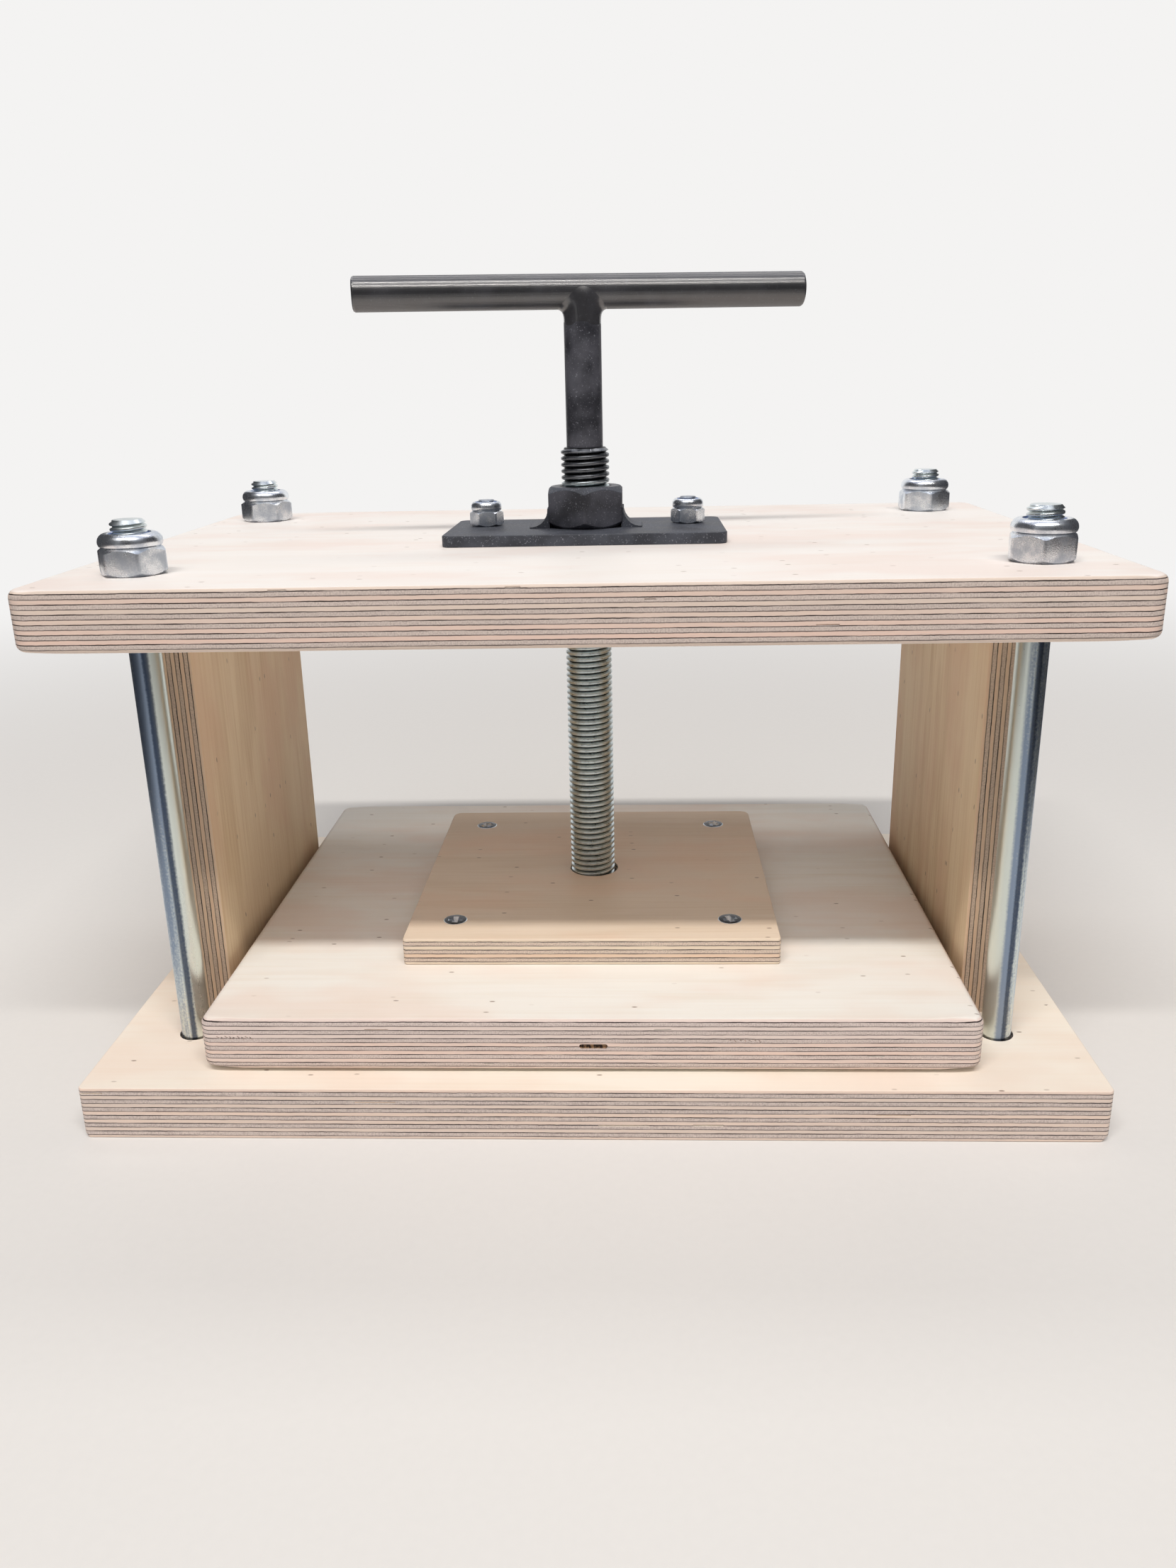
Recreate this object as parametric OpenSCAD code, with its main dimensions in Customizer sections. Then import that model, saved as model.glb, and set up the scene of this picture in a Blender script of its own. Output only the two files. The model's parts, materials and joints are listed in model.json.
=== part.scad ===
// Small screw press for flattening and gluing books.
// Two plywood boards and two side panels are clamped into a box frame by four tie bolts.
// A coarse screw runs in a nut welded to a plate on the top board, and drives the pressing board.
// Millimetres, +Z up, the front is -Y, and the origin is the middle of the base board's underside.

/* [Boards] */
// Thickness of the plywood of every large board
ply = 16.7; // [15:0.1:18.5]
// Width of the base board and the top board
board_w = 300; // [296:1:330]
// Depth of the base board
base_d = 208; // [200:1:230]
// Depth of the top board
top_d = 200; // [192:1:208]
// Corner radius of the base board, seen from above
base_corner = 1.6; // [1.4:0.2:8]
// Corner radius of the top board, seen from above
top_corner = 6; // [3:0.5:10]
// Width of the sanded bevel along the boards' edges
ease = 0.8; // [0.4:0.1:1.2]

/* [Side panels] */
// Depth of a side panel
panel_d = 116; // [90:1:124]
// Height of the opening between the base board and the top board
opening_h = 128.6; // [120:0.1:160]
// Distance from the middle to the inner face of a side panel
panel_inner_x = 117.5; // [116.8:0.1:120]

/* [Tie bolts] */
// Distance of the tie bolts from the middle, sideways
tie_x = 125.5; // [124:0.5:130]
// Distance of the tie bolts from the middle, front to back
tie_y = 71; // [70:0.5:80]
// How much further out the back left tie bolt was drilled than the others
stray_x = 3.5; // [0:0.5:4]
// Length of a tie bolt below its head
tie_len = 170; // [162:1:200]
// Diameter of a tie bolt's thread
tie_thread_d = 10; // [9.8:0.1:10]
// Diameter of a tie bolt's plain shank, which is rolled smaller than the thread
tie_shank_d = 9; // [8.8:0.1:9.4]

/* [Nut plate] */
// Width of the plate that carries the press nut
plate_w = 90; // [84:1:110]
// Depth of the plate
plate_d = 48; // [40:1:60]
// Thickness of the plate
plate_t = 3.6; // [3:0.1:6]
// Distance of the plate's bolts from the middle, sideways
plate_bolt_x = 33.7; // [30:0.1:38]
// Distance of the plate's bolts behind the middle
plate_bolt_y = 6; // [0:0.5:8]

/* [Press screw] */
// Place of the screw's axis, sideways from the boards' middle
screw_x = -1.1; // [-2:0.1:2]
// Diameter over the thread's worn crests
thread_d = 15.7; // [15.5:0.1:15.9]
// Rise of the thread in one turn
thread_pitch = 2; // [1.5:0.5:2]
// Height of the thread's upper end
thread_top_z = 190.8; // [186:0.1:200]
// Diameter of the plain neck turned on the screw's upper end
neck_d = 11.8; // [11:0.1:12.5]

/* [Handle] */
// Length of the handle bar
bar_len = 142; // [120:1:180]
// Diameter of the handle bar
bar_d = 10.4; // [9:0.1:11.5]
// Height of the bar's axis
bar_z = 237.7; // [230:0.1:260]
// Turn of the bar about the screw's axis as the press stands
bar_turn = 9; // [-90:1:90]

/* [Pressing board] */
// Width of the pressing board
press_w = 230; // [200:1:232]
// Depth of the pressing board
press_d = 190; // [160:1:196]
// Gap left between the base board and the pressing board
press_gap = 1.2; // [0.8:0.1:3]
// Corner radius of the pressing board, seen from above
press_corner = 3; // [1.5:0.5:10]
// Width and depth of the retainer board
retainer_w = 120; // [108:1:130]
// Thickness of the retainer board
retainer_t = 9.05; // [8.5:0.05:10]
// Distance of the retainer's screws from the middle, both ways
retainer_screw_xy = 45; // [40:0.5:48]

/* [Hidden] */
$fn = 64;

// A cut runs this far past the face it opens.
over = 1;

// Heights of the frame, from the table up.
top_under_z = ply + opening_h;
top_z = top_under_z + ply;
plate_top_z = top_z + plate_t;

// Heights of the moving boards.
press_under_z = ply + press_gap;
press_top_z = press_under_z + ply;
retainer_top_z = press_top_z + retainer_t;

// Tie bolts and their washers sit in counterbores under the base board.
tie_hole_d = 10.5;
tie_head_h = 6.4;
tie_head_z = 0.7;
tie_shoulder_z = tie_head_z + tie_head_h;
tie_thread_len = 32;
washer_d = 20;
washer_t = 2;
counterbore_d = 24;
counterbore_h = tie_shoulder_z + washer_t;
tie_af = 17;
corners = [[-1, -1], [1, -1], [-1, 1], [1, 1]];
tie_places = [[-tie_x, -tie_y], [tie_x, -tie_y], [-tie_x - stray_x, tie_y], [tie_x, tie_y]];
tie_nut_turn = [1, 16, 10, 33];

// Self-locking nuts: the hexagon, then a rolled collar that holds a nylon ring.
lock_lip_t = 0.5;
lock_lip_gap = 0.9;
lock_pocket_share = 0.84;
collar_root = 1;
tie_nut_h = 11.5;
tie_nut_hex_h = 7.7;
plate_bolt_d = 6;
plate_nut_h = 7.9;
plate_nut_hex_h = 5;
plate_nut_af = 10;
plate_nut_turn = [8, 0];
plate_bolt_top_z = plate_top_z + plate_nut_h + 0.6;
plate_bolt_head_d = 12;
plate_bolt_hole_d = 6.4;

// Press nut and its two fillet welds.
press_nut_af = 24;
press_nut_h = 13;
weld_leg = 5.5;
weld_len = 12.5;

// Internal threads are drawn as plain bores, a running fit over the bolt's or screw's crests.
thread_play = 0.1;
nut_bore_d = thread_d + thread_play;
screw_hole_d = 18;
retainer_hole_d = 17;

// Thread form: 60 degree flanks with a narrow crest flat and a wider root flat.
crest_flat = thread_pitch / 8;
root_flat = thread_pitch / 4;
flank_h = (thread_pitch - crest_flat - root_flat) / 2;
thread_depth = flank_h / tan(30);
thread_bottom_z = press_top_z + 1.4;
thread_count = floor((thread_top_z - thread_bottom_z) / thread_pitch);
thread_start_z = thread_top_z - thread_count * thread_pitch;

// Thrust disc on the screw's foot, in a pocket of the pressing board.
disc_d = 26;
disc_play = 0.3;
disc_t = 6.5;
disc_top_z = press_top_z - disc_play;
disc_bottom_z = disc_top_z - disc_t;
thrust_plate_t = 2;
thrust_plate_d = 27;
thrust_plate_gap = 0.1;
pocket_d = 28;
pocket_floor_z = disc_bottom_z - thrust_plate_gap - thrust_plate_t;
spigot_d = 10;
spigot_z = disc_bottom_z + 3.6;
disc_screw_d = 6;
disc_screw_head_d = 11;
disc_screw_len = 18;

// Retainer screws.
wood_screw_d = 4;
wood_screw_head_d = 8;
wood_screw_len = 20;
recess_w = 1.3;
recess_len = 4.4;
recess_h = 1.6;

birch = "wheat";
zinc = "lightsteelblue";
black_paint = "#2a2b2e";
screw_steel = "#7b776c";
nylon = "lightblue";

// Outline of a board's edge, from the middle of its thickness out to a bevelled rim.
function bevelled(half_w, t, c) = [
    [-half_w, c], [-half_w + c, 0], [half_w - c, 0], [half_w, c],
    [half_w, t - c], [half_w - c, t], [-half_w + c, t], [-half_w, t - c]
];

// A board with round corners in plan and bevelled edges above and below, standing on z = 0.
module eased_board(w, d, t, corner, c) {
    rotate([90, 0, 0])
        linear_extrude(d - 2 * corner, center = true) polygon(bevelled(w / 2, t, c));
    rotate([90, 0, 90])
        linear_extrude(w - 2 * corner, center = true) polygon(bevelled(d / 2, t, c));
    for (sx = [-1, 1], sy = [-1, 1])
        translate([sx * (w / 2 - corner), sy * (d / 2 - corner), 0])
            rotate_extrude()
                polygon([[0, 0], [corner - c, 0], [corner, c], [corner, t - c], [corner - c, t], [0, t]]);
}

// A round bar, or the hole that it cuts, from one height up to another.
module round_bar(d, z_low, z_high) {
    translate([0, 0, z_low]) cylinder(d = d, h = z_high - z_low);
}

// Hexagon of a nut or bolt head, with both ends turned to a 30 degree chamfer.
module chamfered_hex(af, h, turn) {
    corner_r = af / sqrt(3);
    face_r = af / 2 * 0.96;
    past_r = corner_r + over;
    drop = (past_r - face_r) * tan(30);
    intersection() {
        rotate([0, 0, turn]) cylinder(r = corner_r, h = h, $fn = 6);
        rotate_extrude()
            polygon([[0, 0], [face_r, 0], [past_r, drop], [past_r, h - drop], [face_r, h], [0, h]]);
    }
}

// A self-locking nut standing on z = 0. The collar bulges out and rolls in over the nylon ring.
module lock_nut(af, thread, h, hex_h, turn) {
    collar_r = af / 2 * 1.03;
    collar_h = h - hex_h;
    neck_r = af / 2 * 0.94;
    difference() {
        union() {
            chamfered_hex(af, hex_h, turn);
            rotate_extrude()
                polygon([
                    [0, hex_h - collar_root], [neck_r, hex_h - collar_root], [neck_r, hex_h],
                    [collar_r, hex_h + collar_h * 0.3], [collar_r * 0.98, hex_h + collar_h * 0.62],
                    [collar_r * 0.91, hex_h + collar_h * 0.86], [collar_r * 0.82, h], [0, h]
                ]);
        }
        round_bar(thread, -over, h + over);
        round_bar(af * lock_pocket_share, hex_h, h - lock_lip_t);
        round_bar(thread + 2 * lock_lip_gap, hex_h, h + over);
    }
}

// The nylon ring inside a lock nut.
module lock_ring(af, thread, h, hex_h) {
    difference() {
        round_bar(af * lock_pocket_share, hex_h, h - lock_lip_t);
        round_bar(thread, hex_h - over, h + over);
    }
}

// A countersunk head and its shank, the flat face at z = 0 and the shank going down.
module countersunk(head_d, shank_d, len) {
    cone_h = (head_d - shank_d) / 2;
    translate([0, 0, -cone_h]) cylinder(d1 = shank_d, d2 = head_d, h = cone_h);
    translate([0, 0, -len]) cylinder(d = shank_d, h = len);
}

// Cross recess in a countersunk head whose flat face is at z = 0.
module cross_recess() {
    for (a = [0, 90])
        rotate([0, 0, a])
            translate([-recess_len / 2, -recess_w / 2, -recess_h])
                cube([recess_len, recess_w, recess_h + over]);
}

module at_tie(i) {
    translate(concat(tie_places[i], 0)) children();
}

module at_screw() {
    translate([screw_x, 0, 0]) children();
}

module at_plate_bolt(side) {
    translate([screw_x + side * plate_bolt_x, plate_bolt_y, 0]) children();
}

module at_retainer_screw(i) {
    translate(concat(retainer_screw_xy * corners[i], 0)) children();
}

module base_board() {
    color(birch)
        difference() {
            eased_board(board_w, base_d, ply, base_corner, ease);
            for (i = [0 : 3])
                at_tie(i) {
                    round_bar(tie_hole_d, -over, ply + over);
                    round_bar(counterbore_d, -over, counterbore_h);
                }
        }
}

module top_board() {
    color(birch)
        difference() {
            translate([0, 0, top_under_z]) eased_board(board_w, top_d, ply, top_corner, ease);
            for (i = [0 : 3]) at_tie(i) round_bar(tie_hole_d, top_under_z - over, top_z + over);
            at_screw() round_bar(screw_hole_d, top_under_z - over, top_z + over);
            for (side = [-1, 1])
                at_plate_bolt(side) {
                    round_bar(plate_bolt_hole_d, top_under_z - over, top_z + over);
                    mirror([0, 0, 1]) translate([0, 0, -top_under_z])
                        countersunk(plate_bolt_head_d, plate_bolt_d, 3);
                }
        }
}

module side_panel(side) {
    color(birch)
        translate([side * (panel_inner_x + ply / 2), 0, ply])
            linear_extrude(opening_h) polygon([
                for (p = bevelled(ply / 2, panel_d, ease / 2)) [p[0], p[1] - panel_d / 2]
            ]);
}

module tie_bolt(i) {
    tip = 0.8;
    tip_z = tie_shoulder_z + tie_len - tip;
    thread_z = tie_shoulder_z + tie_len - tie_thread_len;
    drawn_d = tie_thread_d - thread_play;
    color(zinc)
        at_tie(i) {
            translate([0, 0, tie_head_z]) chamfered_hex(tie_af, tie_head_h, 0);
            round_bar(tie_shank_d, tie_shoulder_z, thread_z);
            round_bar(drawn_d, thread_z, tip_z);
            translate([0, 0, tip_z]) cylinder(d1 = drawn_d, d2 = drawn_d - 2 * tip, h = tip);
        }
}

module tie_washer(i) {
    color(zinc)
        at_tie(i)
            difference() {
                round_bar(washer_d, tie_shoulder_z, tie_shoulder_z + washer_t);
                round_bar(tie_hole_d, tie_shoulder_z - over, tie_shoulder_z + washer_t + over);
            }
}

module tie_nut(i) {
    color(zinc)
        at_tie(i) translate([0, 0, top_z])
            lock_nut(tie_af, tie_thread_d, tie_nut_h, tie_nut_hex_h, tie_nut_turn[i]);
}

module tie_insert(i) {
    color(nylon)
        at_tie(i) translate([0, 0, top_z]) lock_ring(tie_af, tie_thread_d, tie_nut_h, tie_nut_hex_h);
}

module nut_plate() {
    plate_corner = 3;
    plate_ease = 0.3;
    color(black_paint)
        difference() {
            at_screw() translate([0, 0, top_z])
                difference() {
                    eased_board(plate_w, plate_d, plate_t, plate_corner, plate_ease);
                    round_bar(screw_hole_d, -over, plate_t + over);
                }
            for (side = [-1, 1])
                at_plate_bolt(side) round_bar(plate_bolt_hole_d, top_z - over, plate_top_z + over);
        }
}

module press_nut() {
    mouth = 0.9;
    color(black_paint)
        translate([screw_x, 0, plate_top_z])
            difference() {
                chamfered_hex(press_nut_af, press_nut_h, 30);
                round_bar(nut_bore_d, -over, press_nut_h + over);
                translate([0, 0, press_nut_h - mouth])
                    cylinder(d1 = nut_bore_d, d2 = nut_bore_d + 2 * mouth, h = mouth + 0.001);
            }
}

// Hollow fillet of weld between one side flat of the press nut and the plate.
module nut_weld(side) {
    toe = 0.4;
    reach = weld_leg + toe;
    color(black_paint)
        translate([screw_x + side * press_nut_af / 2, 0, plate_top_z])
            rotate([90, 0, side > 0 ? 0 : 180])
                linear_extrude(weld_len, center = true)
                    difference() {
                        square(weld_leg);
                        translate([reach, reach]) circle(r = weld_leg);
                    }
}

module plate_bolt(side) {
    color(zinc)
        at_plate_bolt(side)
            translate([0, 0, top_under_z])
                mirror([0, 0, 1])
                    countersunk(plate_bolt_head_d, plate_bolt_d - thread_play, plate_bolt_top_z - top_under_z);
}

module plate_nut(side) {
    color(zinc)
        at_plate_bolt(side) translate([0, 0, plate_top_z])
            lock_nut(plate_nut_af, plate_bolt_d, plate_nut_h, plate_nut_hex_h, plate_nut_turn[(side + 1) / 2]);
}

module plate_insert(side) {
    color(nylon)
        at_plate_bolt(side) translate([0, 0, plate_top_z])
            lock_ring(plate_nut_af, plate_bolt_d, plate_nut_h, plate_nut_hex_h);
}

// Half outline of the screw, from its spigot up to the neck. Each thread turn is drawn as a ring.
module press_screw() {
    crest_r = thread_d / 2;
    root_r = crest_r - thread_depth;
    neck_r = neck_d / 2;
    color(screw_steel)
        difference() {
            at_screw() rotate_extrude()
                polygon(concat(
                    [[0, spigot_z], [spigot_d / 2, spigot_z], [spigot_d / 2, disc_top_z], [root_r, disc_top_z]],
                    [for (i = [0 : thread_count - 1], p = [
                        [root_r, root_flat / 2], [crest_r, root_flat / 2 + flank_h],
                        [crest_r, root_flat / 2 + flank_h + crest_flat], [root_r, thread_pitch - root_flat / 2]
                    ]) [p[0], thread_start_z + i * thread_pitch + p[1]]],
                    [[neck_r + 0.6, thread_top_z], [neck_r, thread_top_z], [neck_r, bar_z], [0, bar_z]]
                ));
            handle_rod(bar_len);
            at_screw() round_bar(disc_screw_d, disc_bottom_z, disc_bottom_z + disc_screw_len);
        }
}

module along_bar(turn) {
    translate([screw_x, 0, bar_z]) rotate([0, 90, bar_turn + turn]) children();
}

module handle_rod(len) {
    along_bar(0) cylinder(d = bar_d, h = len, center = true);
}

module handle_bar() {
    tip = 0.8;
    color(black_paint) {
        handle_rod(bar_len - 2 * tip);
        for (end = [0, 180])
            along_bar(end)
                translate([0, 0, bar_len / 2 - tip]) cylinder(d1 = bar_d, d2 = bar_d - 2 * tip, h = tip);
    }
}

// Weld round the joint of neck and bar, ground to a flare.
module handle_weld() {
    weld_low_z = bar_z - 8;
    weld_high_z = bar_z + 0.6;
    weld_r = 6.7;
    weld_edge = 0.05;
    flare_h = 4;
    color(black_paint)
        difference() {
            translate([screw_x, 0, weld_low_z])
                difference() {
                    rotate_extrude()
                        polygon([
                            [0, 0], [neck_d / 2 + weld_edge, 0], [weld_r, flare_h],
                            [weld_r, weld_high_z - weld_low_z], [0, weld_high_z - weld_low_z]
                        ]);
                    round_bar(neck_d, -over, bar_z - weld_low_z);
                }
            handle_rod(bar_len);
        }
}

module thrust_disc() {
    disc_screw_hole_d = 6.4;
    color(screw_steel)
        at_screw() difference() {
            round_bar(disc_d, disc_bottom_z, disc_top_z);
            round_bar(spigot_d, spigot_z, disc_top_z + over);
            round_bar(disc_screw_hole_d, disc_bottom_z - over, spigot_z + over);
            translate([0, 0, disc_bottom_z]) mirror([0, 0, 1])
                countersunk(disc_screw_head_d, disc_screw_d, 3);
        }
}

module disc_screw() {
    color(zinc)
        translate([screw_x, 0, disc_bottom_z])
            mirror([0, 0, 1])
                difference() {
                    countersunk(disc_screw_head_d, disc_screw_d, disc_screw_len);
                    cross_recess();
                }
}

module pressing_board() {
    color(birch)
        difference() {
            translate([0, 0, press_under_z]) eased_board(press_w, press_d, ply, press_corner, ease);
            at_screw() round_bar(pocket_d, pocket_floor_z, press_top_z + over);
            for (i = [0 : 3])
                at_retainer_screw(i)
                    round_bar(wood_screw_d, retainer_top_z - wood_screw_len, press_top_z + over);
        }
}

module retainer_board() {
    retainer_corner = 1.5;
    retainer_ease = 0.5;
    color(birch)
        difference() {
            translate([0, 0, press_top_z])
                eased_board(retainer_w, retainer_w, retainer_t, retainer_corner, retainer_ease);
            at_screw() round_bar(retainer_hole_d, press_top_z - over, retainer_top_z + over);
            for (i = [0 : 3])
                at_retainer_screw(i) translate([0, 0, retainer_top_z])
                    countersunk(wood_screw_head_d, wood_screw_d, wood_screw_len);
        }
}

module thrust_plate() {
    color(zinc) at_screw() round_bar(thrust_plate_d, pocket_floor_z, pocket_floor_z + thrust_plate_t);
}

module retainer_screw(i) {
    color(zinc)
        at_retainer_screw(i)
            translate([0, 0, retainer_top_z])
                difference() {
                    countersunk(wood_screw_head_d, wood_screw_d, wood_screw_len);
                    rotate([0, 0, 20 * i]) cross_recess();
                }
}

base_board();
top_board();
side_panel(-1);  // side_panel_left
side_panel(1);  // side_panel_right
tie_bolt(0);  // tie_bolt_front_left
tie_bolt(1);  // tie_bolt_front_right
tie_bolt(2);  // tie_bolt_back_left
tie_bolt(3);  // tie_bolt_back_right
tie_washer(0);  // tie_washer_front_left
tie_washer(1);  // tie_washer_front_right
tie_washer(2);  // tie_washer_back_left
tie_washer(3);  // tie_washer_back_right
tie_nut(0);  // tie_nut_front_left
tie_nut(1);  // tie_nut_front_right
tie_nut(2);  // tie_nut_back_left
tie_nut(3);  // tie_nut_back_right
tie_insert(0);  // tie_insert_front_left
tie_insert(1);  // tie_insert_front_right
tie_insert(2);  // tie_insert_back_left
tie_insert(3);  // tie_insert_back_right
nut_plate();
press_nut();
nut_weld(-1);  // nut_weld_left
nut_weld(1);  // nut_weld_right
plate_bolt(-1);  // plate_bolt_left
plate_bolt(1);  // plate_bolt_right
plate_nut(-1);  // plate_nut_left
plate_nut(1);  // plate_nut_right
plate_insert(-1);  // plate_insert_left
plate_insert(1);  // plate_insert_right
press_screw();
handle_bar();
handle_weld();
thrust_disc();
disc_screw();
pressing_board();
retainer_board();
thrust_plate();
retainer_screw(0);  // retainer_screw_front_left
retainer_screw(1);  // retainer_screw_front_right
retainer_screw(2);  // retainer_screw_back_left
retainer_screw(3);  // retainer_screw_back_right
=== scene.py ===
# %% [markdown]
# # A book press, dressed for a photograph
#
# This lesson takes the measured frame of a small plywood book press and gives it the looks of the
# real one: sanded birch plywood, bright zinc bolts, an oiled steel screw and a painted handle.
# Each step first says what the piece is on the real press, how it could be made, and why this way
# was chosen. Everything is in metres, with +Z up and the origin under the middle of the base board.

# %% Load the frame
import json
import math

import bmesh
import bpy
from mathutils import Matrix, Vector

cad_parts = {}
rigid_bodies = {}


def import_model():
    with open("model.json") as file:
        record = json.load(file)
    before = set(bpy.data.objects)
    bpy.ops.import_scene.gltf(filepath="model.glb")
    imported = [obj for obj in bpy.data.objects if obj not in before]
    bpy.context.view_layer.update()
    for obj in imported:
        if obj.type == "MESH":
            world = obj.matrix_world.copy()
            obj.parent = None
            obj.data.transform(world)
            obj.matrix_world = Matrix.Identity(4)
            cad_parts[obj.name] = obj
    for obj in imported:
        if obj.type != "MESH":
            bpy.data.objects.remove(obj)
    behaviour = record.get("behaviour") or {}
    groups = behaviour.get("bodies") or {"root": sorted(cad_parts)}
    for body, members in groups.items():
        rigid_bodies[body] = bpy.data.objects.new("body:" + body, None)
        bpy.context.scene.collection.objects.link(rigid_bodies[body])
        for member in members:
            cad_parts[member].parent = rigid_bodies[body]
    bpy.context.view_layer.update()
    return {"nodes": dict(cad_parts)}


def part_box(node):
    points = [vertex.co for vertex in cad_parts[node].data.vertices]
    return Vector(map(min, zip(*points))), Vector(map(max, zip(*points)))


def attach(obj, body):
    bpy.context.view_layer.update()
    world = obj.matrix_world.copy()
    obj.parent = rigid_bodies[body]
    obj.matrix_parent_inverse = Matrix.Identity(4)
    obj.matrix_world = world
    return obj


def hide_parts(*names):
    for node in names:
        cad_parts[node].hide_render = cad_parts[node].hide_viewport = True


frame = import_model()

MM = 0.001

# %% [markdown]
# ## Places that the frame gives
#
# The frame knows where every piece belongs, so the lesson asks it and never measures by eye. A
# small helper returns the middle of a node's box, and the sizes that several steps need get a name
# here.

# %% Places
def middle_of(node):
    """The middle of a frame node's box."""
    low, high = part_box(node)
    return (low + high) / 2


CORNERS = ("front_left", "front_right", "back_left", "back_right")
SCREW_X = middle_of("press_nut").x
SCREW_AXIS = Vector((SCREW_X, 0, 0))
BASE_LOW, BASE_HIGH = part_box("base_board")
TOP_LOW, TOP_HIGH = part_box("top_board")
PRESS_LOW, PRESS_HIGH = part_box("pressing_board")
RETAINER_LOW, RETAINER_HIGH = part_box("retainer_board")
PLATE_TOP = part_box("nut_plate")[1].z
TIE_PLACES = {corner: middle_of("tie_insert_" + corner) for corner in CORNERS}
PLATE_BOLT_PLACES = {side: middle_of("plate_insert_" + side) for side in ("left", "right")}
RETAINER_SCREW_PLACES = {corner: middle_of("retainer_screw_" + corner) for corner in CORNERS}
print("screw axis at x", round(SCREW_X * 1000, 2), "mm")

# %% [markdown]
# ## Working as at the bench
#
# Every piece starts as a primitive at its own size and place, and is shaped in edit mode. Blender's
# tools act on whatever is selected, so the first helper empties the selection before it adds
# anything, and the second opens a piece with only the wanted corners, edges or faces selected.

# %% Helpers for starting and selecting
def to_object_mode():
    """Leaves edit mode, where that is open."""
    if bpy.context.object and bpy.context.object.mode != "OBJECT":
        bpy.ops.object.mode_set(mode="OBJECT")


def choose(piece):
    """Makes the piece the only selected object, and the active one."""
    to_object_mode()
    bpy.ops.object.select_all(action="DESELECT")
    piece.select_set(True)
    bpy.context.view_layer.objects.active = piece


def start(name, add_primitive, **place):
    """Adds a primitive, names it, and fixes its place and size in its mesh."""
    to_object_mode()
    bpy.ops.object.select_all(action="DESELECT")
    add_primitive(**place)
    piece = bpy.context.object
    piece.name = piece.data.name = name
    bpy.ops.object.transform_apply(location=True, rotation=True, scale=True)
    return piece


def everything(part):
    """The test that every part passes."""
    return True


def middle(part):
    """The middle of an edge or a face."""
    return sum((corner.co for corner in part.verts), Vector()) / len(part.verts)


def rise_of(edge):
    """How much higher one end of an edge lies than the other."""
    return abs(edge.verts[0].co.z - edge.verts[1].co.z)


def take(piece, kind, test):
    """Opens the piece in edit mode with only the parts selected that pass the test."""
    choose(piece)
    bpy.ops.object.mode_set(mode="EDIT")
    bpy.context.tool_settings.mesh_select_mode = [kind == k for k in ("VERT", "EDGE", "FACE")]
    shape = bmesh.from_edit_mesh(piece.data)
    levels = {"VERT": shape.verts, "EDGE": shape.edges, "FACE": shape.faces}
    for level in levels.values():
        for part in level:
            part.select_set(False)
    for part in levels[kind]:
        if test(part):
            part.select_set(True)
    shape.select_flush_mode()
    bmesh.update_edit_mesh(piece.data)


# %% [markdown]
# ## Cutting, joining and softening
#
# A drill, a saw or a weld is a Boolean here: a tool-shaped piece is taken away from the work or
# joined to it. Real edges are never sharp, so a Bevel modifier rounds the hard ones over, and
# weighted normals keep the big flat faces flat to the light.

# %% Helpers for cutting and finishing
def apply_modifier(piece, modifier):
    """Makes a modifier's work part of the mesh."""
    choose(piece)
    bpy.ops.object.modifier_apply(modifier=modifier.name)


def discard(piece):
    """Throws a spent tool or model away, with its mesh."""
    spent = piece.data
    bpy.data.objects.remove(piece)
    bpy.data.meshes.remove(spent)


def work(piece, tool, how="DIFFERENCE"):
    """Takes the tool away from the piece, joins it on, or keeps only what both fill."""
    change = piece.modifiers.new("Bench work", "BOOLEAN")
    change.operation = how
    change.object = tool
    change.solver = "EXACT"
    apply_modifier(piece, change)
    discard(tool)
    take(piece, "VERT", everything)
    bpy.ops.mesh.remove_doubles(threshold=0.0005 * MM)
    to_object_mode()


def soften(piece, width, segments=2, angle=30):
    """Rounds the hard edges over."""
    change = piece.modifiers.new("Soft edges", "BEVEL")
    change.width = width
    change.segments = segments
    change.limit_method = "ANGLE"
    change.angle_limit = math.radians(angle)
    apply_modifier(piece, change)


def settle_normals(piece, angle=35):
    """Smooth curves, crisp arrises, and big faces that stay flat to the light."""
    choose(piece)
    bpy.ops.object.shade_smooth_by_angle(angle=math.radians(angle))
    change = piece.modifiers.new("Weighted", "WEIGHTED_NORMAL")
    change.keep_sharp = True
    change.weight = 100
    apply_modifier(piece, change)


def clone(piece, name, move=(0, 0, 0), turn=0.0):
    """A copy with its own mesh, turned about the vertical and moved, with its place in its mesh."""
    choose(piece)
    bpy.ops.object.duplicate(linked=False)
    copy = bpy.context.object
    copy.name = copy.data.name = name
    copy.rotation_euler = (0, 0, turn)
    copy.location = move
    bpy.ops.object.transform_apply(location=True, rotation=True, scale=True)
    return copy


def hand_over(piece, material, body, slot, *nodes):
    """Gives the finished piece its material, sets it on its body and hides the frame pieces it
    stands for.
    """
    piece.data.materials.clear()
    piece.data.materials.append(material)
    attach(piece, body)
    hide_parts(*nodes)
    print("made", piece.name, "with", len(piece.data.polygons), "faces")


def paint_faces(piece, material, test):
    """Gives a second material to the faces that pass the test."""
    piece.data.materials.append(material)
    take(piece, "FACE", test)
    piece.active_material_index = 1
    bpy.ops.object.material_slot_assign()
    to_object_mode()


# %% [markdown]
# ## Turning and threading
#
# Bolts, nuts and rings are turned parts. Their outline is drawn as a chain of edges: one corner of
# a tiny plane, extruded again and again. Spin sweeps the outline round the axis as a lathe would.
# A thread is the same idea with a rise: the outline of one turn goes into a Screw modifier, which
# gives the true helix, right-handed as on the real bolts.

# %% Helpers for turned and threaded pieces
THREAD_DEPTH = 0.5413       # a thread's depth, as a share of its pitch


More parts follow.
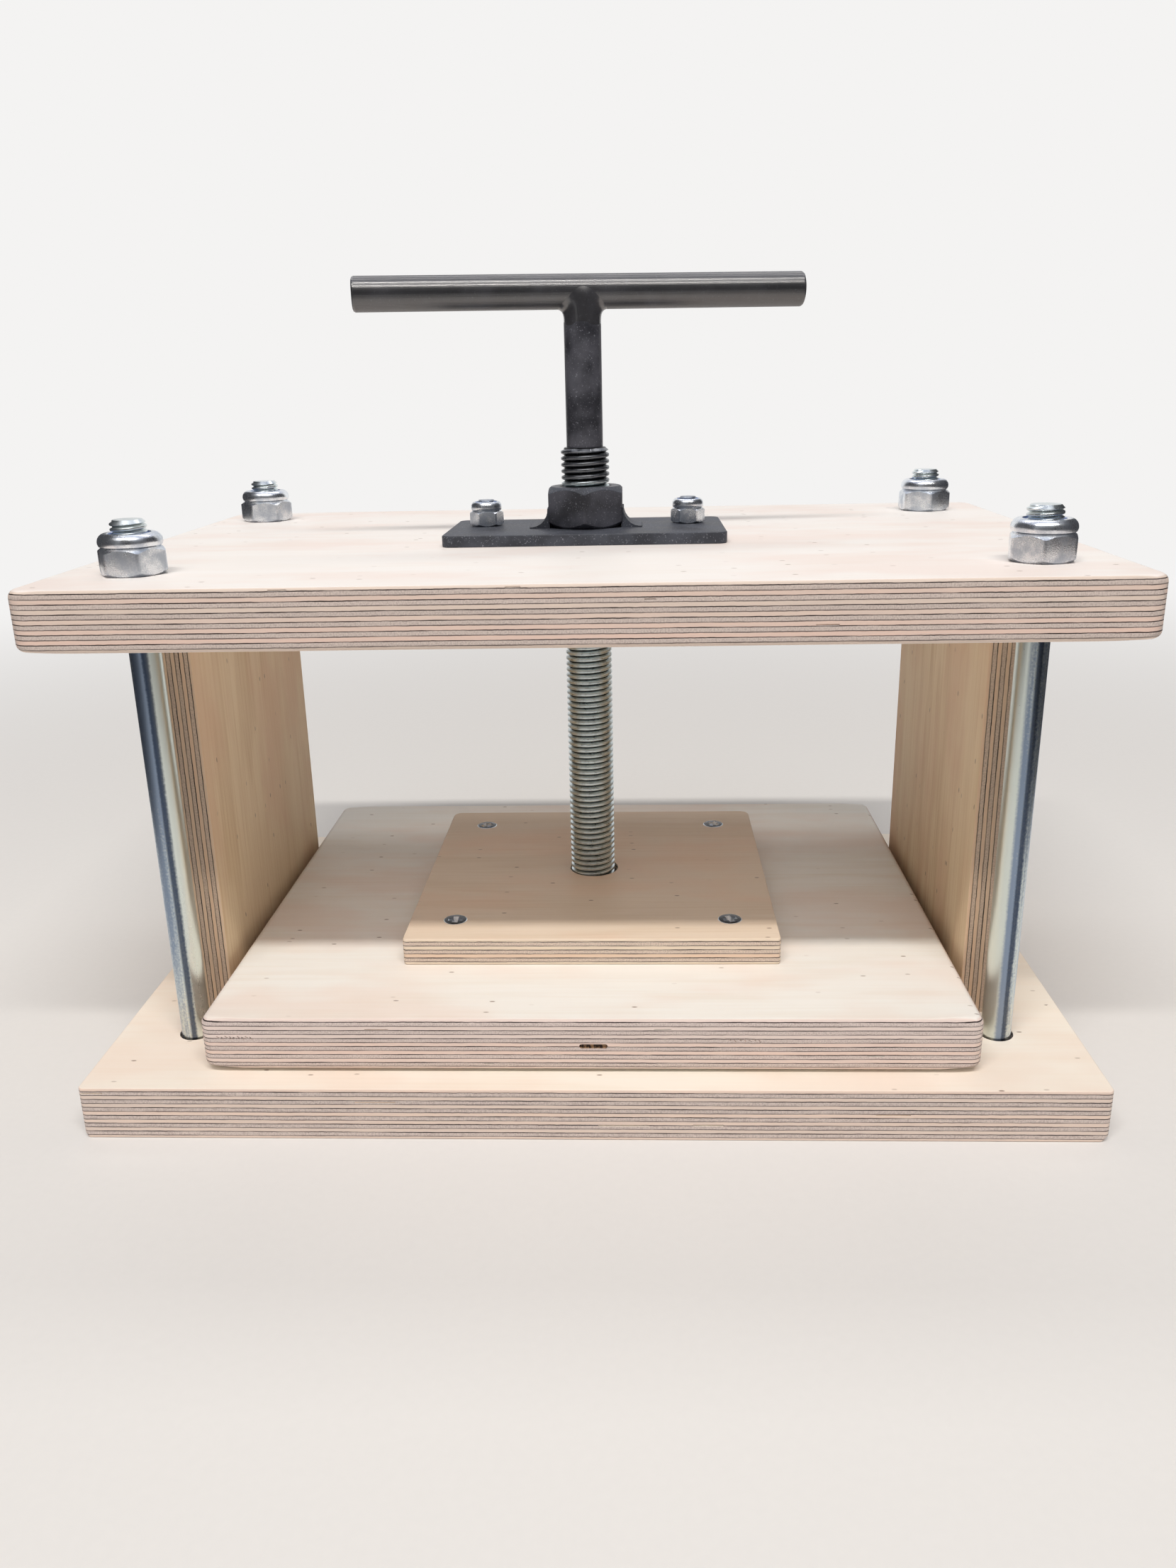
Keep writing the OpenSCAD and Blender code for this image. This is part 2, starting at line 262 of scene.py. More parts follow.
def draw_outline(name, points):
    """A chain of edges through (radius, height) points, drawn by extruding one corner."""
    chain = start(name, bpy.ops.mesh.primitive_plane_add, size=MM)
    take(chain, "VERT", everything)
    bpy.ops.mesh.merge(type="CENTER")
    bpy.ops.transform.translate(value=(points[0][0], 0, points[0][1]))
    for (r0, z0), (r1, z1) in zip(points, points[1:]):
        step = {"value": (r1 - r0, 0, z1 - z0)}
        bpy.ops.mesh.extrude_region_move(TRANSFORM_OT_translate=step)
    to_object_mode()
    return chain


def close_up(piece):
    """Joins corners that lie on each other, and turns all faces outwards."""
    take(piece, "VERT", everything)
    bpy.ops.mesh.remove_doubles(threshold=0.002 * MM)
    bpy.ops.mesh.normals_make_consistent(inside=False)
    to_object_mode()


def turned(name, points, steps=64):
    """A solid of revolution about the Z axis."""
    piece = draw_outline(name, points)
    take(piece, "VERT", everything)
    bpy.ops.mesh.spin(steps=steps, angle=math.tau, center=(0, 0, 0), axis=(0, 0, 1))
    close_up(piece)
    return piece


def rod(name, radius, z_low, z_high, x=0.0, y=0.0, sides=64):
    """A plain round bar, as a blank or as a drill."""
    place = (x, y, (z_low + z_high) / 2)
    return start(name, bpy.ops.mesh.primitive_cylinder_add, vertices=sides, radius=radius,
                 depth=z_high - z_low, location=place)


def saw_off(piece, place, outward):
    """Cuts the piece along a plane, throws the outward side away and closes the cut."""
    take(piece, "FACE", everything)
    bpy.ops.mesh.bisect(plane_co=place, plane_no=outward, use_fill=True, clear_outer=True,
                        threshold=0.0001 * MM)
    to_object_mode()


def threaded_rod(name, crest_r, pitch, z_low, z_high, steps=48):
    """A rolled thread with round roots and broad, worn crests, cut square at both ends."""
    depth = THREAD_DEPTH * pitch
    # One tooth, from root to root: how far up the turn a point lies, and how far out, from 0 to 1.
    form = [(0.0, 0.0), (0.05, 0.07), (0.11, 0.25), (0.24, 0.76), (0.3, 0.92), (0.38, 1.0),
            (0.62, 1.0), (0.7, 0.92), (0.76, 0.76), (0.89, 0.25), (0.95, 0.07), (1.0, 0.0)]
    tooth = [(crest_r - depth * (1 - out), pitch * up) for up, out in form]
    piece = draw_outline(name, tooth)
    turns = math.ceil((z_high - z_low) / pitch) + 3
    change = piece.modifiers.new("Thread", "SCREW")
    change.screw_offset = pitch
    change.iterations = turns
    change.steps = change.render_steps = steps
    apply_modifier(piece, change)
    take(piece, "VERT", everything)
    bpy.ops.transform.translate(value=(0, 0, z_low - 1.5 * pitch))
    close_up(piece)
    saw_off(piece, (0, 0, z_low), (0, 0, -1))
    saw_off(piece, (0, 0, z_high), (0, 0, 1))
    close_up(piece)
    return piece


def hexagon(name, across_flats, z_low, z_high, turn=0.0, corner=0.5 * MM, slope=38):
    """A hexagonal blank, its corners rounded and both its ends turned to a chamfer."""
    across = across_flats / math.sqrt(3)
    blank = start(name, bpy.ops.mesh.primitive_cylinder_add, vertices=6, radius=across,
                  depth=z_high - z_low + 2 * MM, location=(0, 0, (z_low + z_high) / 2),
                  rotation=(0, 0, math.radians(30) + turn))
    take(blank, "EDGE", lambda edge: rise_of(edge) > 2 * MM)
    bpy.ops.mesh.bevel(offset=corner, segments=4, affect="EDGES")
    # The chamfer starts a little inside the flats and ends outside the corners.
    face_r = across_flats / 2 * 0.94
    past_r = across + MM
    drop = (past_r - face_r) * math.tan(math.radians(slope))
    form = turned("chamfer form", [(0, z_low), (face_r, z_low), (past_r, z_low + drop),
                                   (past_r, z_high - drop), (face_r, z_high), (0, z_high)], 96)
    work(blank, form, "INTERSECT")
    return blank


# %% [markdown]
# ## Colours and nodes
#
# Colours are picked as sRGB hex values, as a painter would read them from a swatch, and one
# function turns them to the linear values that Blender's shaders expect. One more function adds a
# shader node with its settings and its links, and gives back its outputs, so that a material reads
# as a recipe.

# %% Helpers for materials
def linear(swatch):
    """An sRGB hex colour as linear RGBA."""
    parts = [int(swatch[i:i + 2], 16) / 255 for i in (1, 3, 5)]
    return [c / 12.92 if c < 0.04045 else ((c + 0.055) / 1.055) ** 2.4 for c in parts] + [1.0]


def add_node(tree, kind, inputs=(), **settings):
    """Adds a node with its properties, its inputs' values and links, and returns its outputs."""
    made = tree.nodes.new("ShaderNode" + kind)
    for name, value in settings.items():
        setattr(made, name, value)
    for key, value in inputs.items() if isinstance(inputs, dict) else enumerate(inputs):
        if isinstance(value, bpy.types.NodeSocket):
            tree.links.new(value, made.inputs[key])
        else:
            made.inputs[key].default_value = value
    return made.outputs


def new_material(name):
    """An empty material and its node tree."""
    material = bpy.data.materials.new(name)
    material.use_nodes = True
    material.node_tree.nodes.clear()
    return material, material.node_tree


# Settings that come back often. A Map Range node eases from one value to another, and a Mix node
# for colours takes its amount at input 0 and its two colours at inputs 6 and 7, and gives output 2.
EASED = {"interpolation_type": "SMOOTHSTEP"}
COLOURS = {"data_type": "RGBA"}

# %% [markdown]
# ## Birch plywood
#
# The boards are birch plywood, sanded and left bare. Its face is a pale veneer with faint grain,
# and its edge shows thirteen plies, the two outer ones sanded thinner. Every second ply shows its
# fibres end-on, which looks greyer, and thin dark glue lines part them. A picture of plywood would
# repeat and would not fit the drilled holes, so the material counts the plies from the height in
# the board instead: it is then right on every edge, in every hole and on every chamfer. Its recipe
# is long, so it comes in parts: the noises, the plies with their glue lines, the face veneer, and
# the whole.

# %% The wood's patterns
# How often each pattern repeats in a metre: along the grain, across it, and through the board.
PATTERNS = {
    "waver": (22, 22, 22),              # the glue lines' slow wave, 45 mm long
    "wiggle": (420, 420, 420),          # and their ragged edge, 2.4 mm long
    "gluey": (70, 70, 700),             # where a glue line is strong, 15 mm long
    "fibre": (60, 60, 4200),            # fibres seen along their length
    "speck": (2400, 2400, 1900),        # fibres seen end-on, drawn at 0.4 mm: coarser than real
    "flame": (3.2, 21, 21),             # the face veneer's broad flame figure
    "fine": (20, 850, 850),             # its faint streaks, a millimetre apart
    "cloud": (8, 24, 24),               # its slow change of tone
    "warmth": (13, 27, 27),             # and its pinkish patches, about 75 mm long
}


def wood_noises(tree, grain):
    """One noise for each pattern, stretched along the grain."""
    noise = {}
    for title, scale in PATTERNS.items():
        scaled = add_node(tree, "Mapping", {"Vector": grain, "Scale": scale})[0]
        noise[title] = add_node(tree, "TexNoise", {"Vector": scaled, "Scale": 1.0, "Detail": 3.0,
                                                   "Roughness": 0.6})[0]
    return noise


# %% Plies and glue lines
OUTER_PLY = 0.75        # how thick an outer ply is, as a share of an inner one


def count_plies(tree, through, noise, low, pitch):
    """The level in plies: its whole part is the ply, and each glue line is at a whole number."""
    bent = add_node(tree, "Math", (noise["waver"], 0.35 * MM, through), operation="MULTIPLY_ADD")[0]
    bent = add_node(tree, "Math", (noise["wiggle"], 0.22 * MM, bent), operation="MULTIPLY_ADD")[0]
    # The two noises lift the level by 0.28 mm on average, which is taken off again.
    start_at = low + 0.28 * MM - (1 - OUTER_PLY) * pitch
    level = add_node(tree, "Math", (bent, start_at), operation="SUBTRACT")[0]
    return add_node(tree, "Math", (level, pitch), operation="DIVIDE")[0]


def ply_colours(tree, level, end_face, noise, cream, grey, blush, seed):
    """Cream plies show streaks along the grain; grey ones show the specks of fibres cut across."""
    ply = add_node(tree, "Math", (level,), operation="FLOOR")[0]
    ply_name = add_node(tree, "Math", (ply, seed * 100), operation="ADD")[0]
    chance = add_node(tree, "TexWhiteNoise", {"W": ply_name}, noise_dimensions="1D")
    odd = add_node(tree, "Math", (ply, 2.0), operation="FLOORED_MODULO")[0]
    end_on = add_node(tree, "Math", (odd, end_face), operation="SUBTRACT")[0]
    end_on = add_node(tree, "Math", (end_on,), operation="ABSOLUTE")[0]
    streak = add_node(tree, "MapRange", (noise["fibre"], 0.35, 0.7, 0.0, 0.45), **EASED)[0]
    tint = add_node(tree, "Math", (chance[0], 0.7), operation="MULTIPLY")[0]
    cream_ply = add_node(tree, "Mix", {0: tint, 6: linear(cream), 7: linear(blush)}, **COLOURS)[2]
    cream_ply = add_node(tree, "Mix", {0: streak, 6: cream_ply, 7: linear(grey)}, **COLOURS)[2]
    speck = add_node(tree, "MapRange", (noise["speck"], 0.42, 0.68, 0.0, 0.32), **EASED)[0]
    grey_ply = add_node(tree, "Mix", {0: speck, 6: linear(grey), 7: linear("#806a60")},
                        **COLOURS)[2]
    glint = add_node(tree, "MapRange", (noise["speck"], 0.42, 0.3, 0.0, 0.45), **EASED)[0]
    grey_ply = add_node(tree, "Mix", {0: glint, 6: grey_ply, 7: linear(cream)}, **COLOURS)[2]
    shade = add_node(tree, "MapRange", (chance[0], 0.0, 1.0, 0.92, 1.0))[0]
    edge = add_node(tree, "Mix", {0: end_on, 6: cream_ply, 7: grey_ply}, **COLOURS)[2]
    return add_node(tree, "HueSaturation", {"Value": shade, "Color": edge})[0]


def glue_lines(tree, level, noise):
    """Glue lines, about a quarter of a millimetre wide and ragged, every second one fainter."""
    to_glue = add_node(tree, "Math", (level, 0.5), operation="PINGPONG")[0]
    width = add_node(tree, "MapRange", (noise["gluey"], 0.3, 0.7, 0.08, 0.15))[0]
    glue = add_node(tree, "Math", (to_glue, width), operation="DIVIDE")[0]
    glue = add_node(tree, "MapRange", (glue, 0.55, 1.15, 1.0, 0.0), **EASED)[0]
    line = add_node(tree, "Math", (level,), operation="ROUND")[0]
    line = add_node(tree, "Math", (line, 2.0), operation="FLOORED_MODULO")[0]
    line = add_node(tree, "MapRange", (line, 0.0, 1.0, 1.0, 0.8))[0]
    strong = add_node(tree, "MapRange", (noise["gluey"], 0.3, 0.6, 0.72, 1.0), **EASED)[0]
    strong = add_node(tree, "Math", (strong, line), operation="MULTIPLY")[0]
    return add_node(tree, "Math", (glue, strong), operation="MULTIPLY")[0]


# %% Face veneer
def face_veneer(tree, grain, noise, face, figure, blush, strength):
    """The face: a flame figure, faint streaks, pinkish patches and a few short dark pores."""
    flame = add_node(tree, "Math", (noise["flame"], 42.0), operation="MULTIPLY")[0]
    flame = add_node(tree, "Math", (flame,), operation="SINE")[0]
    flame = add_node(tree, "MapRange", (flame, -0.2, 1.0, 0.0, 0.45), **EASED)[0]
    fine = add_node(tree, "MapRange", (noise["fine"], 0.4, 0.75, 0.0, 0.6), **EASED)[0]
    figured = add_node(tree, "Math", (flame, fine), operation="ADD")[0]
    cloud = add_node(tree, "MapRange", (noise["cloud"], 0.32, 0.62, 0.3 * strength, strength),
                     **EASED)[0]
    figured = add_node(tree, "Math", (figured, cloud), operation="MULTIPLY")[0]
    veneer = add_node(tree, "Mix", {0: figured, 6: linear(face), 7: linear(figure)}, **COLOURS)[2]
    warm = add_node(tree, "MapRange", (noise["warmth"], 0.42, 0.66, 0.0, strength), **EASED)[0]
    veneer = add_node(tree, "Mix", {0: warm, 6: veneer, 7: linear(blush)}, **COLOURS)[2]
    # Pores lie about 14 mm apart along the grain and 6 mm across it, and most are left out.
    scaled = add_node(tree, "Mapping", {"Vector": grain, "Scale": (70, 170, 170)})[0]
    cells = add_node(tree, "TexVoronoi", {"Vector": scaled, "Scale": 1.0}, voronoi_dimensions="2D")
    pore = add_node(tree, "MapRange", (cells["Distance"], 0.035, 0.075, 0.75, 0.0), **EASED)[0]
    kept = add_node(tree, "SeparateXYZ", (cells["Color"],))[0]
    kept = add_node(tree, "MapRange", (kept, 0.8, 0.95))[0]
    pore = add_node(tree, "Math", (pore, kept), operation="MULTIPLY")[0]
    return add_node(tree, "Mix", {0: pore, 6: veneer, 7: linear("#7a5b45")}, **COLOURS)[2]


# %% Birch plywood
def birch_plywood(name, low, thickness, plies, face, figure, cream, grey, upright=False, seed=0.0,
                  strength=0.35, blush="#efc9b8"):
    """Plywood whose plies are counted from its lower face, or from its left face if it stands."""
    material, tree = new_material(name)
    place = add_node(tree, "TexCoord")
    apart = add_node(tree, "SeparateXYZ", (place["Object"],))
    facing = add_node(tree, "SeparateXYZ", (place["Normal"],))
    # A standing panel is a board on its side: its grain runs up, and its plies lie side by side.
    order = (2, 1, 0) if upright else (0, 1, 2)
    along, across, through = (apart[i] for i in order)
    shifted = add_node(tree, "Math", (along, seed), operation="ADD")[0]
    grain = add_node(tree, "CombineXYZ", (shifted, across, through))[0]
    noise = wood_noises(tree, grain)
    end_face = add_node(tree, "Math", (facing[order[0]],), operation="ABSOLUTE")[0]
    end_face = add_node(tree, "MapRange", (end_face, 0.6, 0.8))[0]
    level = count_plies(tree, through, noise, low, thickness / (plies - 2 + 2 * OUTER_PLY))
    edge = ply_colours(tree, level, end_face, noise, cream, grey, blush, seed)
    glue = glue_lines(tree, level, noise)
    edge = add_node(tree, "Mix", {0: glue, 6: edge, 7: linear("#291a17")}, **COLOURS)[2]
    veneer = face_veneer(tree, grain, noise, face, figure, blush, strength)
    on_face = add_node(tree, "Math", (facing[order[2]],), operation="ABSOLUTE")[0]
    on_face = add_node(tree, "MapRange", (on_face, 0.72, 0.93), **EASED)[0]
    colour = add_node(tree, "Mix", {0: on_face, 6: edge, 7: veneer}, **COLOURS)[2]
    # Glue lines lie a little lower than the plies, and the face is sanded almost smooth.
    rough_edge = add_node(tree, "Math", (glue, -0.8, noise["speck"]), operation="MULTIPLY_ADD")[0]
    smooth_face = add_node(tree, "Math", (noise["fine"], 0.4), operation="MULTIPLY")[0]
    relief = add_node(tree, "Mix", {0: on_face, 2: rough_edge, 3: smooth_face})[0]
    bump = add_node(tree, "Bump", {"Height": relief, "Distance": 0.06 * MM, "Strength": 1.0})[0]
    roughness = add_node(tree, "MapRange", (noise["fine"], 0.3, 0.7, 0.5, 0.62))[0]
    wood = add_node(tree, "BsdfPrincipled", {"Base Color": colour, "Roughness": roughness,
                                             "Normal": bump})[0]
    add_node(tree, "OutputMaterial", (wood,))
    return material


# %% The boards' plywood
PLIES = 13
base_ply = birch_plywood("birch plywood base", BASE_LOW.z, BASE_HIGH.z - BASE_LOW.z, PLIES,
                         "#fff7ea", "#f5e4cd", "#f5e1d2", "#dccdc5", seed=0.31, blush="#f7dac6")
top_ply = birch_plywood("birch plywood top", TOP_LOW.z, TOP_HIGH.z - TOP_LOW.z, PLIES,
                        "#fdf9f5", "#f2e8dd", "#f2dfcf", "#d9cac1", seed=1.7, strength=0.25)
press_ply = birch_plywood("birch plywood pressing board", PRESS_LOW.z, PRESS_HIGH.z - PRESS_LOW.z,
                          PLIES, "#faf8f2", "#e9ddcb", "#fce9df", "#dfd0c9", seed=2.9,
                          blush="#f2d2c0")
RETAINER_PLIES = 7
retainer_ply = birch_plywood("birch plywood retainer", RETAINER_LOW.z,
                             RETAINER_HIGH.z - RETAINER_LOW.z, RETAINER_PLIES, "#ecdac5",
                             "#d6bc9c", "#ffeed6", "#e6d3c3", seed=4.1, strength=0.45,
                             blush="#efc9ad")
panel_ply = {}
for side, seed in (("left", 5.3), ("right", 6.8)):
    low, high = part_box("side_panel_" + side)
    panel_ply[side] = birch_plywood("birch plywood panel " + side, low.x, high.x - low.x, PLIES,
                                    "#f5ddb9", "#cda673", "#edd0b0", "#d5bda6", upright=True,
                                    seed=seed, strength=0.6, blush="#e6bf9c")
print("plywood materials:", 4 + len(panel_ply))

# %% [markdown]
# ## Zinc-plated steel
#
# The bolts, nuts and wood screws are steel with bright zinc on it: a slightly blue metal,
# mirror-like from afar and cloudy close by. The rolled shanks show lengthwise draw marks, with a
# painted pale highlight on their inner side, a painted light-blue reflection on their outer edge
# and one painted dark reflection as a streak, and the nuts' flats are satin, pebbled by the die.
# Roughness does most of the work on a metal.

# %% Zinc for nuts
def satin_zinc(name, pale, dull, rough_low, rough_high):
    """Bright zinc with slow clouds and a fine pebble."""
    material, tree = new_material(name)
    place = add_node(tree, "TexCoord")["Object"]
    clouds = add_node(tree, "TexNoise", {"Vector": place, "Scale": 210.0, "Detail": 4.0})[0]
    # Real crystal grain is finer than a pixel, so it is drawn at about 0.4 mm.
    pebble = add_node(tree, "TexNoise", {"Vector": place, "Scale": 2400.0, "Detail": 3.0,
                                         "Roughness": 0.6})[0]
    tone = add_node(tree, "Math", (pebble, 0.4, clouds), operation="MULTIPLY_ADD")[0]
    tone = add_node(tree, "MapRange", (tone, 0.55, 0.85), **EASED)[0]
    colour = add_node(tree, "Mix", {0: tone, 6: linear(dull), 7: linear(pale)}, **COLOURS)[2]
    roughness = add_node(tree, "MapRange", (tone, 0.0, 1.0, rough_high, rough_low))[0]
    bump = add_node(tree, "Bump", {"Height": pebble, "Distance": 0.028 * MM, "Strength": 1.0})[0]
    metal = add_node(tree, "BsdfPrincipled", {"Base Color": colour, "Metallic": 1.0,
                                              "Roughness": roughness, "Normal": bump})[0]
    add_node(tree, "OutputMaterial", (metal,))
    return material


zinc_nut = satin_zinc("bright zinc, satin nuts", "#eff3f7", "#c6ced8", 0.24, 0.38)
zinc_plain = satin_zinc("bright zinc, small parts", "#ccd2da", "#8e959f", 0.2, 0.4)
# Painted reflection: the wood screws' polished heads mirror a dark ceiling, so their metal colour
# is painted dark.
painted_reflection_zinc_head = satin_zinc("zinc screw heads, painted dark reflection", "#2e3136", "#141518", 0.14, 0.28)

# %% Zinc for rolled shanks
def drawn_zinc(name, shank_x, bright_above):
    """Bright zinc on a drawn shank: blue-grey, with a painted pale highlight on its inner side,
    a painted light-blue reflection on its outer edge and one painted dark reflection as a streak.
    """
    material, tree = new_material(name)
    place = add_node(tree, "TexCoord")["Object"]
    apart = add_node(tree, "SeparateXYZ", (place,))
    scaled = add_node(tree, "Mapping", {"Vector": place, "Scale": (150, 150, 5)})[0]
    broad = add_node(tree, "TexNoise", {"Vector": scaled, "Scale": 1.0, "Detail": 2.0})[0]
    scaled = add_node(tree, "Mapping", {"Vector": place, "Scale": (1500, 1500, 30)})[0]
    draw = add_node(tree, "TexNoise", {"Vector": scaled, "Scale": 1.0, "Detail": 3.0})[0]
    mottle = add_node(tree, "TexNoise", {"Vector": place, "Scale": 1300.0, "Detail": 3.0})[0]
    tone = add_node(tree, "Math", (mottle, 0.3, broad), operation="MULTIPLY_ADD")[0]
    tone = add_node(tree, "Math", (draw, 0.25, tone), operation="MULTIPLY_ADD")[0]
    pale = add_node(tree, "MapRange", (tone, 0.62, 0.86), **EASED)[0]
    # How far a place lies outward of its bolt's axis: a painted highlight makes the inner side
    # pale, and a painted reflection makes the outer edge light blue.
    outward = add_node(tree, "Math", (apart[0],), operation="ABSOLUTE")[0]
    outward = add_node(tree, "Math", (outward, shank_x), operation="SUBTRACT")[0]
    outward = add_node(tree, "Math", (tone, 2.0 * MM, outward), operation="MULTIPLY_ADD")[0]
    inner = add_node(tree, "MapRange", (outward, 0.2 * MM, -1.0 * MM), **EASED)[0]
    outer = add_node(tree, "MapRange", (outward, 4.7 * MM, 5.6 * MM, 0.0, 0.7), **EASED)[0]
    # The painted dark reflection lies as a streak a little right of each bolt's axis. Wrapping x at
    # the distance between the two rows of bolts makes them one row.
    right = add_node(tree, "Math", (apart[0], 2 * shank_x, 0.0), operation="WRAP")[0]
    right = add_node(tree, "Math", (right, shank_x), operation="SUBTRACT")[0]
    right = add_node(tree, "Math", (tone, 2.0 * MM, right), operation="MULTIPLY_ADD")[0]
    begin = add_node(tree, "MapRange", (right, 1.2 * MM, 2.0 * MM), **EASED)[0]
    end = add_node(tree, "MapRange", (right, 2.9 * MM, 3.8 * MM, 1.0, 0.0), **EASED)[0]
    painted_dark_reflection = add_node(tree, "Math", (begin, end), operation="MULTIPLY")[0]
    painted_dark_reflection = add_node(tree, "Math", (painted_dark_reflection, 0.85), operation="MULTIPLY")[0]
    # Above the top board the colour is plain and pale, without the painted bands below.
    rolled = add_node(tree, "MapRange", (apart[2], bright_above - 5 * MM, bright_above))[0]
    colour = linear("#93a3b9")
    for amount, swatch in ((pale, "#dfe7e3"), (inner, "#e2eae4"), (outer, "#bccfe4"),
                           (painted_dark_reflection, "#37435a"), (rolled, "#dfe7e8")):
        colour = add_node(tree, "Mix", {0: amount, 6: colour, 7: linear(swatch)}, **COLOURS)[2]
    roughness = add_node(tree, "MapRange", (tone, 0.6, 0.95, 0.36, 0.22))[0]
    bump = add_node(tree, "Bump", {"Height": draw, "Distance": 0.012 * MM, "Strength": 1.0})[0]
    metal = add_node(tree, "BsdfPrincipled", {"Base Color": colour, "Metallic": 1.0,
                                              "Roughness": roughness, "Normal": bump})[0]
    add_node(tree, "OutputMaterial", (metal,))
    return material


zinc_bolt = drawn_zinc("bright zinc, drawn shank, painted reflections", TIE_PLACES["front_right"].x, TOP_HIGH.z)
print("zinc materials: 4")

# %% [markdown]
# ## Nylon, black paint and oiled steel
#
# The ring that locks each nut is blue nylon. Plate, nut, neck and handle are brushed with black
# enamel, glossy on the bar that hands polish and satin below it, where a little pale dust has
# settled. The screw's thread is bare rolled steel, coloured darker in its roots and brighter on its
# crests, partly from wear and partly as a painted highlight, and above the nut it is almost black.

# %% Nylon
nylon, tree = new_material("moulded blue nylon")
place = add_node(tree, "TexCoord")["Object"]
cloudy = add_node(tree, "TexNoise", {"Vector": place, "Scale": 700.0, "Detail": 3.0})[0]
colour = add_node(tree, "Mix", {0: cloudy, 6: linear("#6a76d2"), 7: linear("#a9c8ee")},
                  **COLOURS)[2]
bump = add_node(tree, "Bump", {"Height": cloudy, "Distance": 0.02 * MM, "Strength": 1.0})[0]
plastic = add_node(tree, "BsdfPrincipled", {"Base Color": colour, "Roughness": 0.38, "IOR": 1.53,
                                            "Normal": bump})[0]
add_node(tree, "OutputMaterial", (plastic,))

# %% Black enamel
def black_enamel(name, base, worn, dust_share, rough, relief, coat, level=0.5):
    """Black enamel: slow patches, dust specks, and brush ripples of a given relief."""
    material, tree = new_material(name)
    place = add_node(tree, "TexCoord")["Object"]
    patches = add_node(tree, "TexNoise", {"Vector": place, "Scale": 85.0, "Detail": 4.0})[0]
    patches = add_node(tree, "MapRange", (patches, 0.35, 0.65), **EASED)[0]
    # Dust is finer than a pixel, so each speck is drawn about a third of a millimetre wide.
    dust = add_node(tree, "TexNoise", {"Vector": place, "Scale": 1900.0, "Detail": 2.0,
                                       "Roughness": 0.6})[0]
    dust = add_node(tree, "MapRange", (dust, 0.6, 0.72, 0.0, dust_share), **EASED)[0]
    colour = add_node(tree, "Mix", {0: patches, 6: linear(base), 7: linear(worn)}, **COLOURS)[2]
    colour = add_node(tree, "Mix", {0: dust, 6: colour, 7: linear("#a9abb5")}, **COLOURS)[2]
    roughness = add_node(tree, "MapRange", (patches, 0.0, 1.0, *rough))[0]
    ripple = add_node(tree, "TexNoise", {"Vector": place, "Scale": 420.0, "Detail": 2.0})[0]
    bump = add_node(tree, "Bump", {"Height": ripple, "Distance": relief, "Strength": 1.0})[0]
    paint = add_node(tree, "BsdfPrincipled", {
        "Base Color": colour, "Roughness": roughness, "Specular IOR Level": level,
        "Coat Weight": coat, "Coat Roughness": 0.22, "Coat IOR": 1.85, "Normal": bump})[0]
    add_node(tree, "OutputMaterial", (paint,))
    return material


enamel_bar = black_enamel("gloss black enamel", "#262629", "#36363b", dust_share=0.06,
                          rough=(0.36, 0.46), relief=0.003 * MM, coat=1.0)
enamel_neck = black_enamel("satin black enamel", "#28292f", "#505159", dust_share=0.35,
                           rough=(0.36, 0.5), relief=0.02 * MM, coat=0.0)
enamel_plate = black_enamel("dusty black enamel", "#34373e", "#4b4f58", dust_share=0.45,
                            rough=(0.5, 0.6), relief=0.02 * MM, coat=0.0, level=0.4)

# %% Oiled steel
def oiled_thread(name, crest_r, depth, nut_top):
    """Bare rolled thread, darker in its roots and bright on its crests, partly worn and partly a
    painted highlight.
    """
    material, tree = new_material(name)
    place = add_node(tree, "TexCoord")["Object"]
    centred = add_node(tree, "Mapping", {"Vector": place, "Location": (-SCREW_X, 0, 0),
                                         "Scale": (1, 1, 0)})[0]
    radius = add_node(tree, "VectorMath", (centred,), operation="LENGTH")["Value"]
    height = add_node(tree, "SeparateXYZ", (place,))[2]
    # Crests are coloured lighter than roots: partly wear, partly a painted highlight.
    crest = add_node(tree, "MapRange", (radius, crest_r - 0.98 * depth, crest_r - 0.7 * depth),
                     **EASED)[0]
    mottle = add_node(tree, "TexNoise", {"Vector": place, "Scale": 520.0, "Detail": 4.0,
                                         "Roughness": 0.65})[0]
    wear_and_painted_highlight = add_node(tree, "MapRange", (mottle, 0.3, 0.6, 0.72, 1.0), **EASED)[0]
    wear_and_painted_highlight = add_node(tree, "Math", (crest, wear_and_painted_highlight), operation="MULTIPLY")[0]
    # Above the nut the paint has run into the thread, past one clean, oily turn.
    above = add_node(tree, "MapRange", (height, nut_top + 1.2 * MM, nut_top + 2.2 * MM))[0]
    root = add_node(tree, "Mix", {0: above, 6: linear("#52585a"), 7: linear("#0d0d0e")},
                    **COLOURS)[2]
    bright = add_node(tree, "Mix", {0: above, 6: linear("#d9e4e6"), 7: linear("#85888c")},
                      **COLOURS)[2]
    colour = add_node(tree, "Mix", {0: wear_and_painted_highlight, 6: root, 7: bright}, **COLOURS)[2]
    roughness = add_node(tree, "MapRange", (mottle, 0.3, 0.7, 0.24, 0.42))[0]
    bump = add_node(tree, "Bump", {"Height": mottle, "Distance": 0.03 * MM, "Strength": 1.0})[0]
    metal = add_node(tree, "BsdfPrincipled", {"Base Color": colour, "Metallic": 1.0,
                                              "Roughness": roughness, "Normal": bump})[0]
    add_node(tree, "OutputMaterial", (metal,))
    return material


SCREW_PITCH = 2.0 * MM
SCREW_R = 7.85 * MM
NUT_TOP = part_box("press_nut")[1].z
screw_steel = oiled_thread("oiled rolled steel", SCREW_R, THREAD_DEPTH * SCREW_PITCH, NUT_TOP)
print("paint, nylon and screw materials ready")

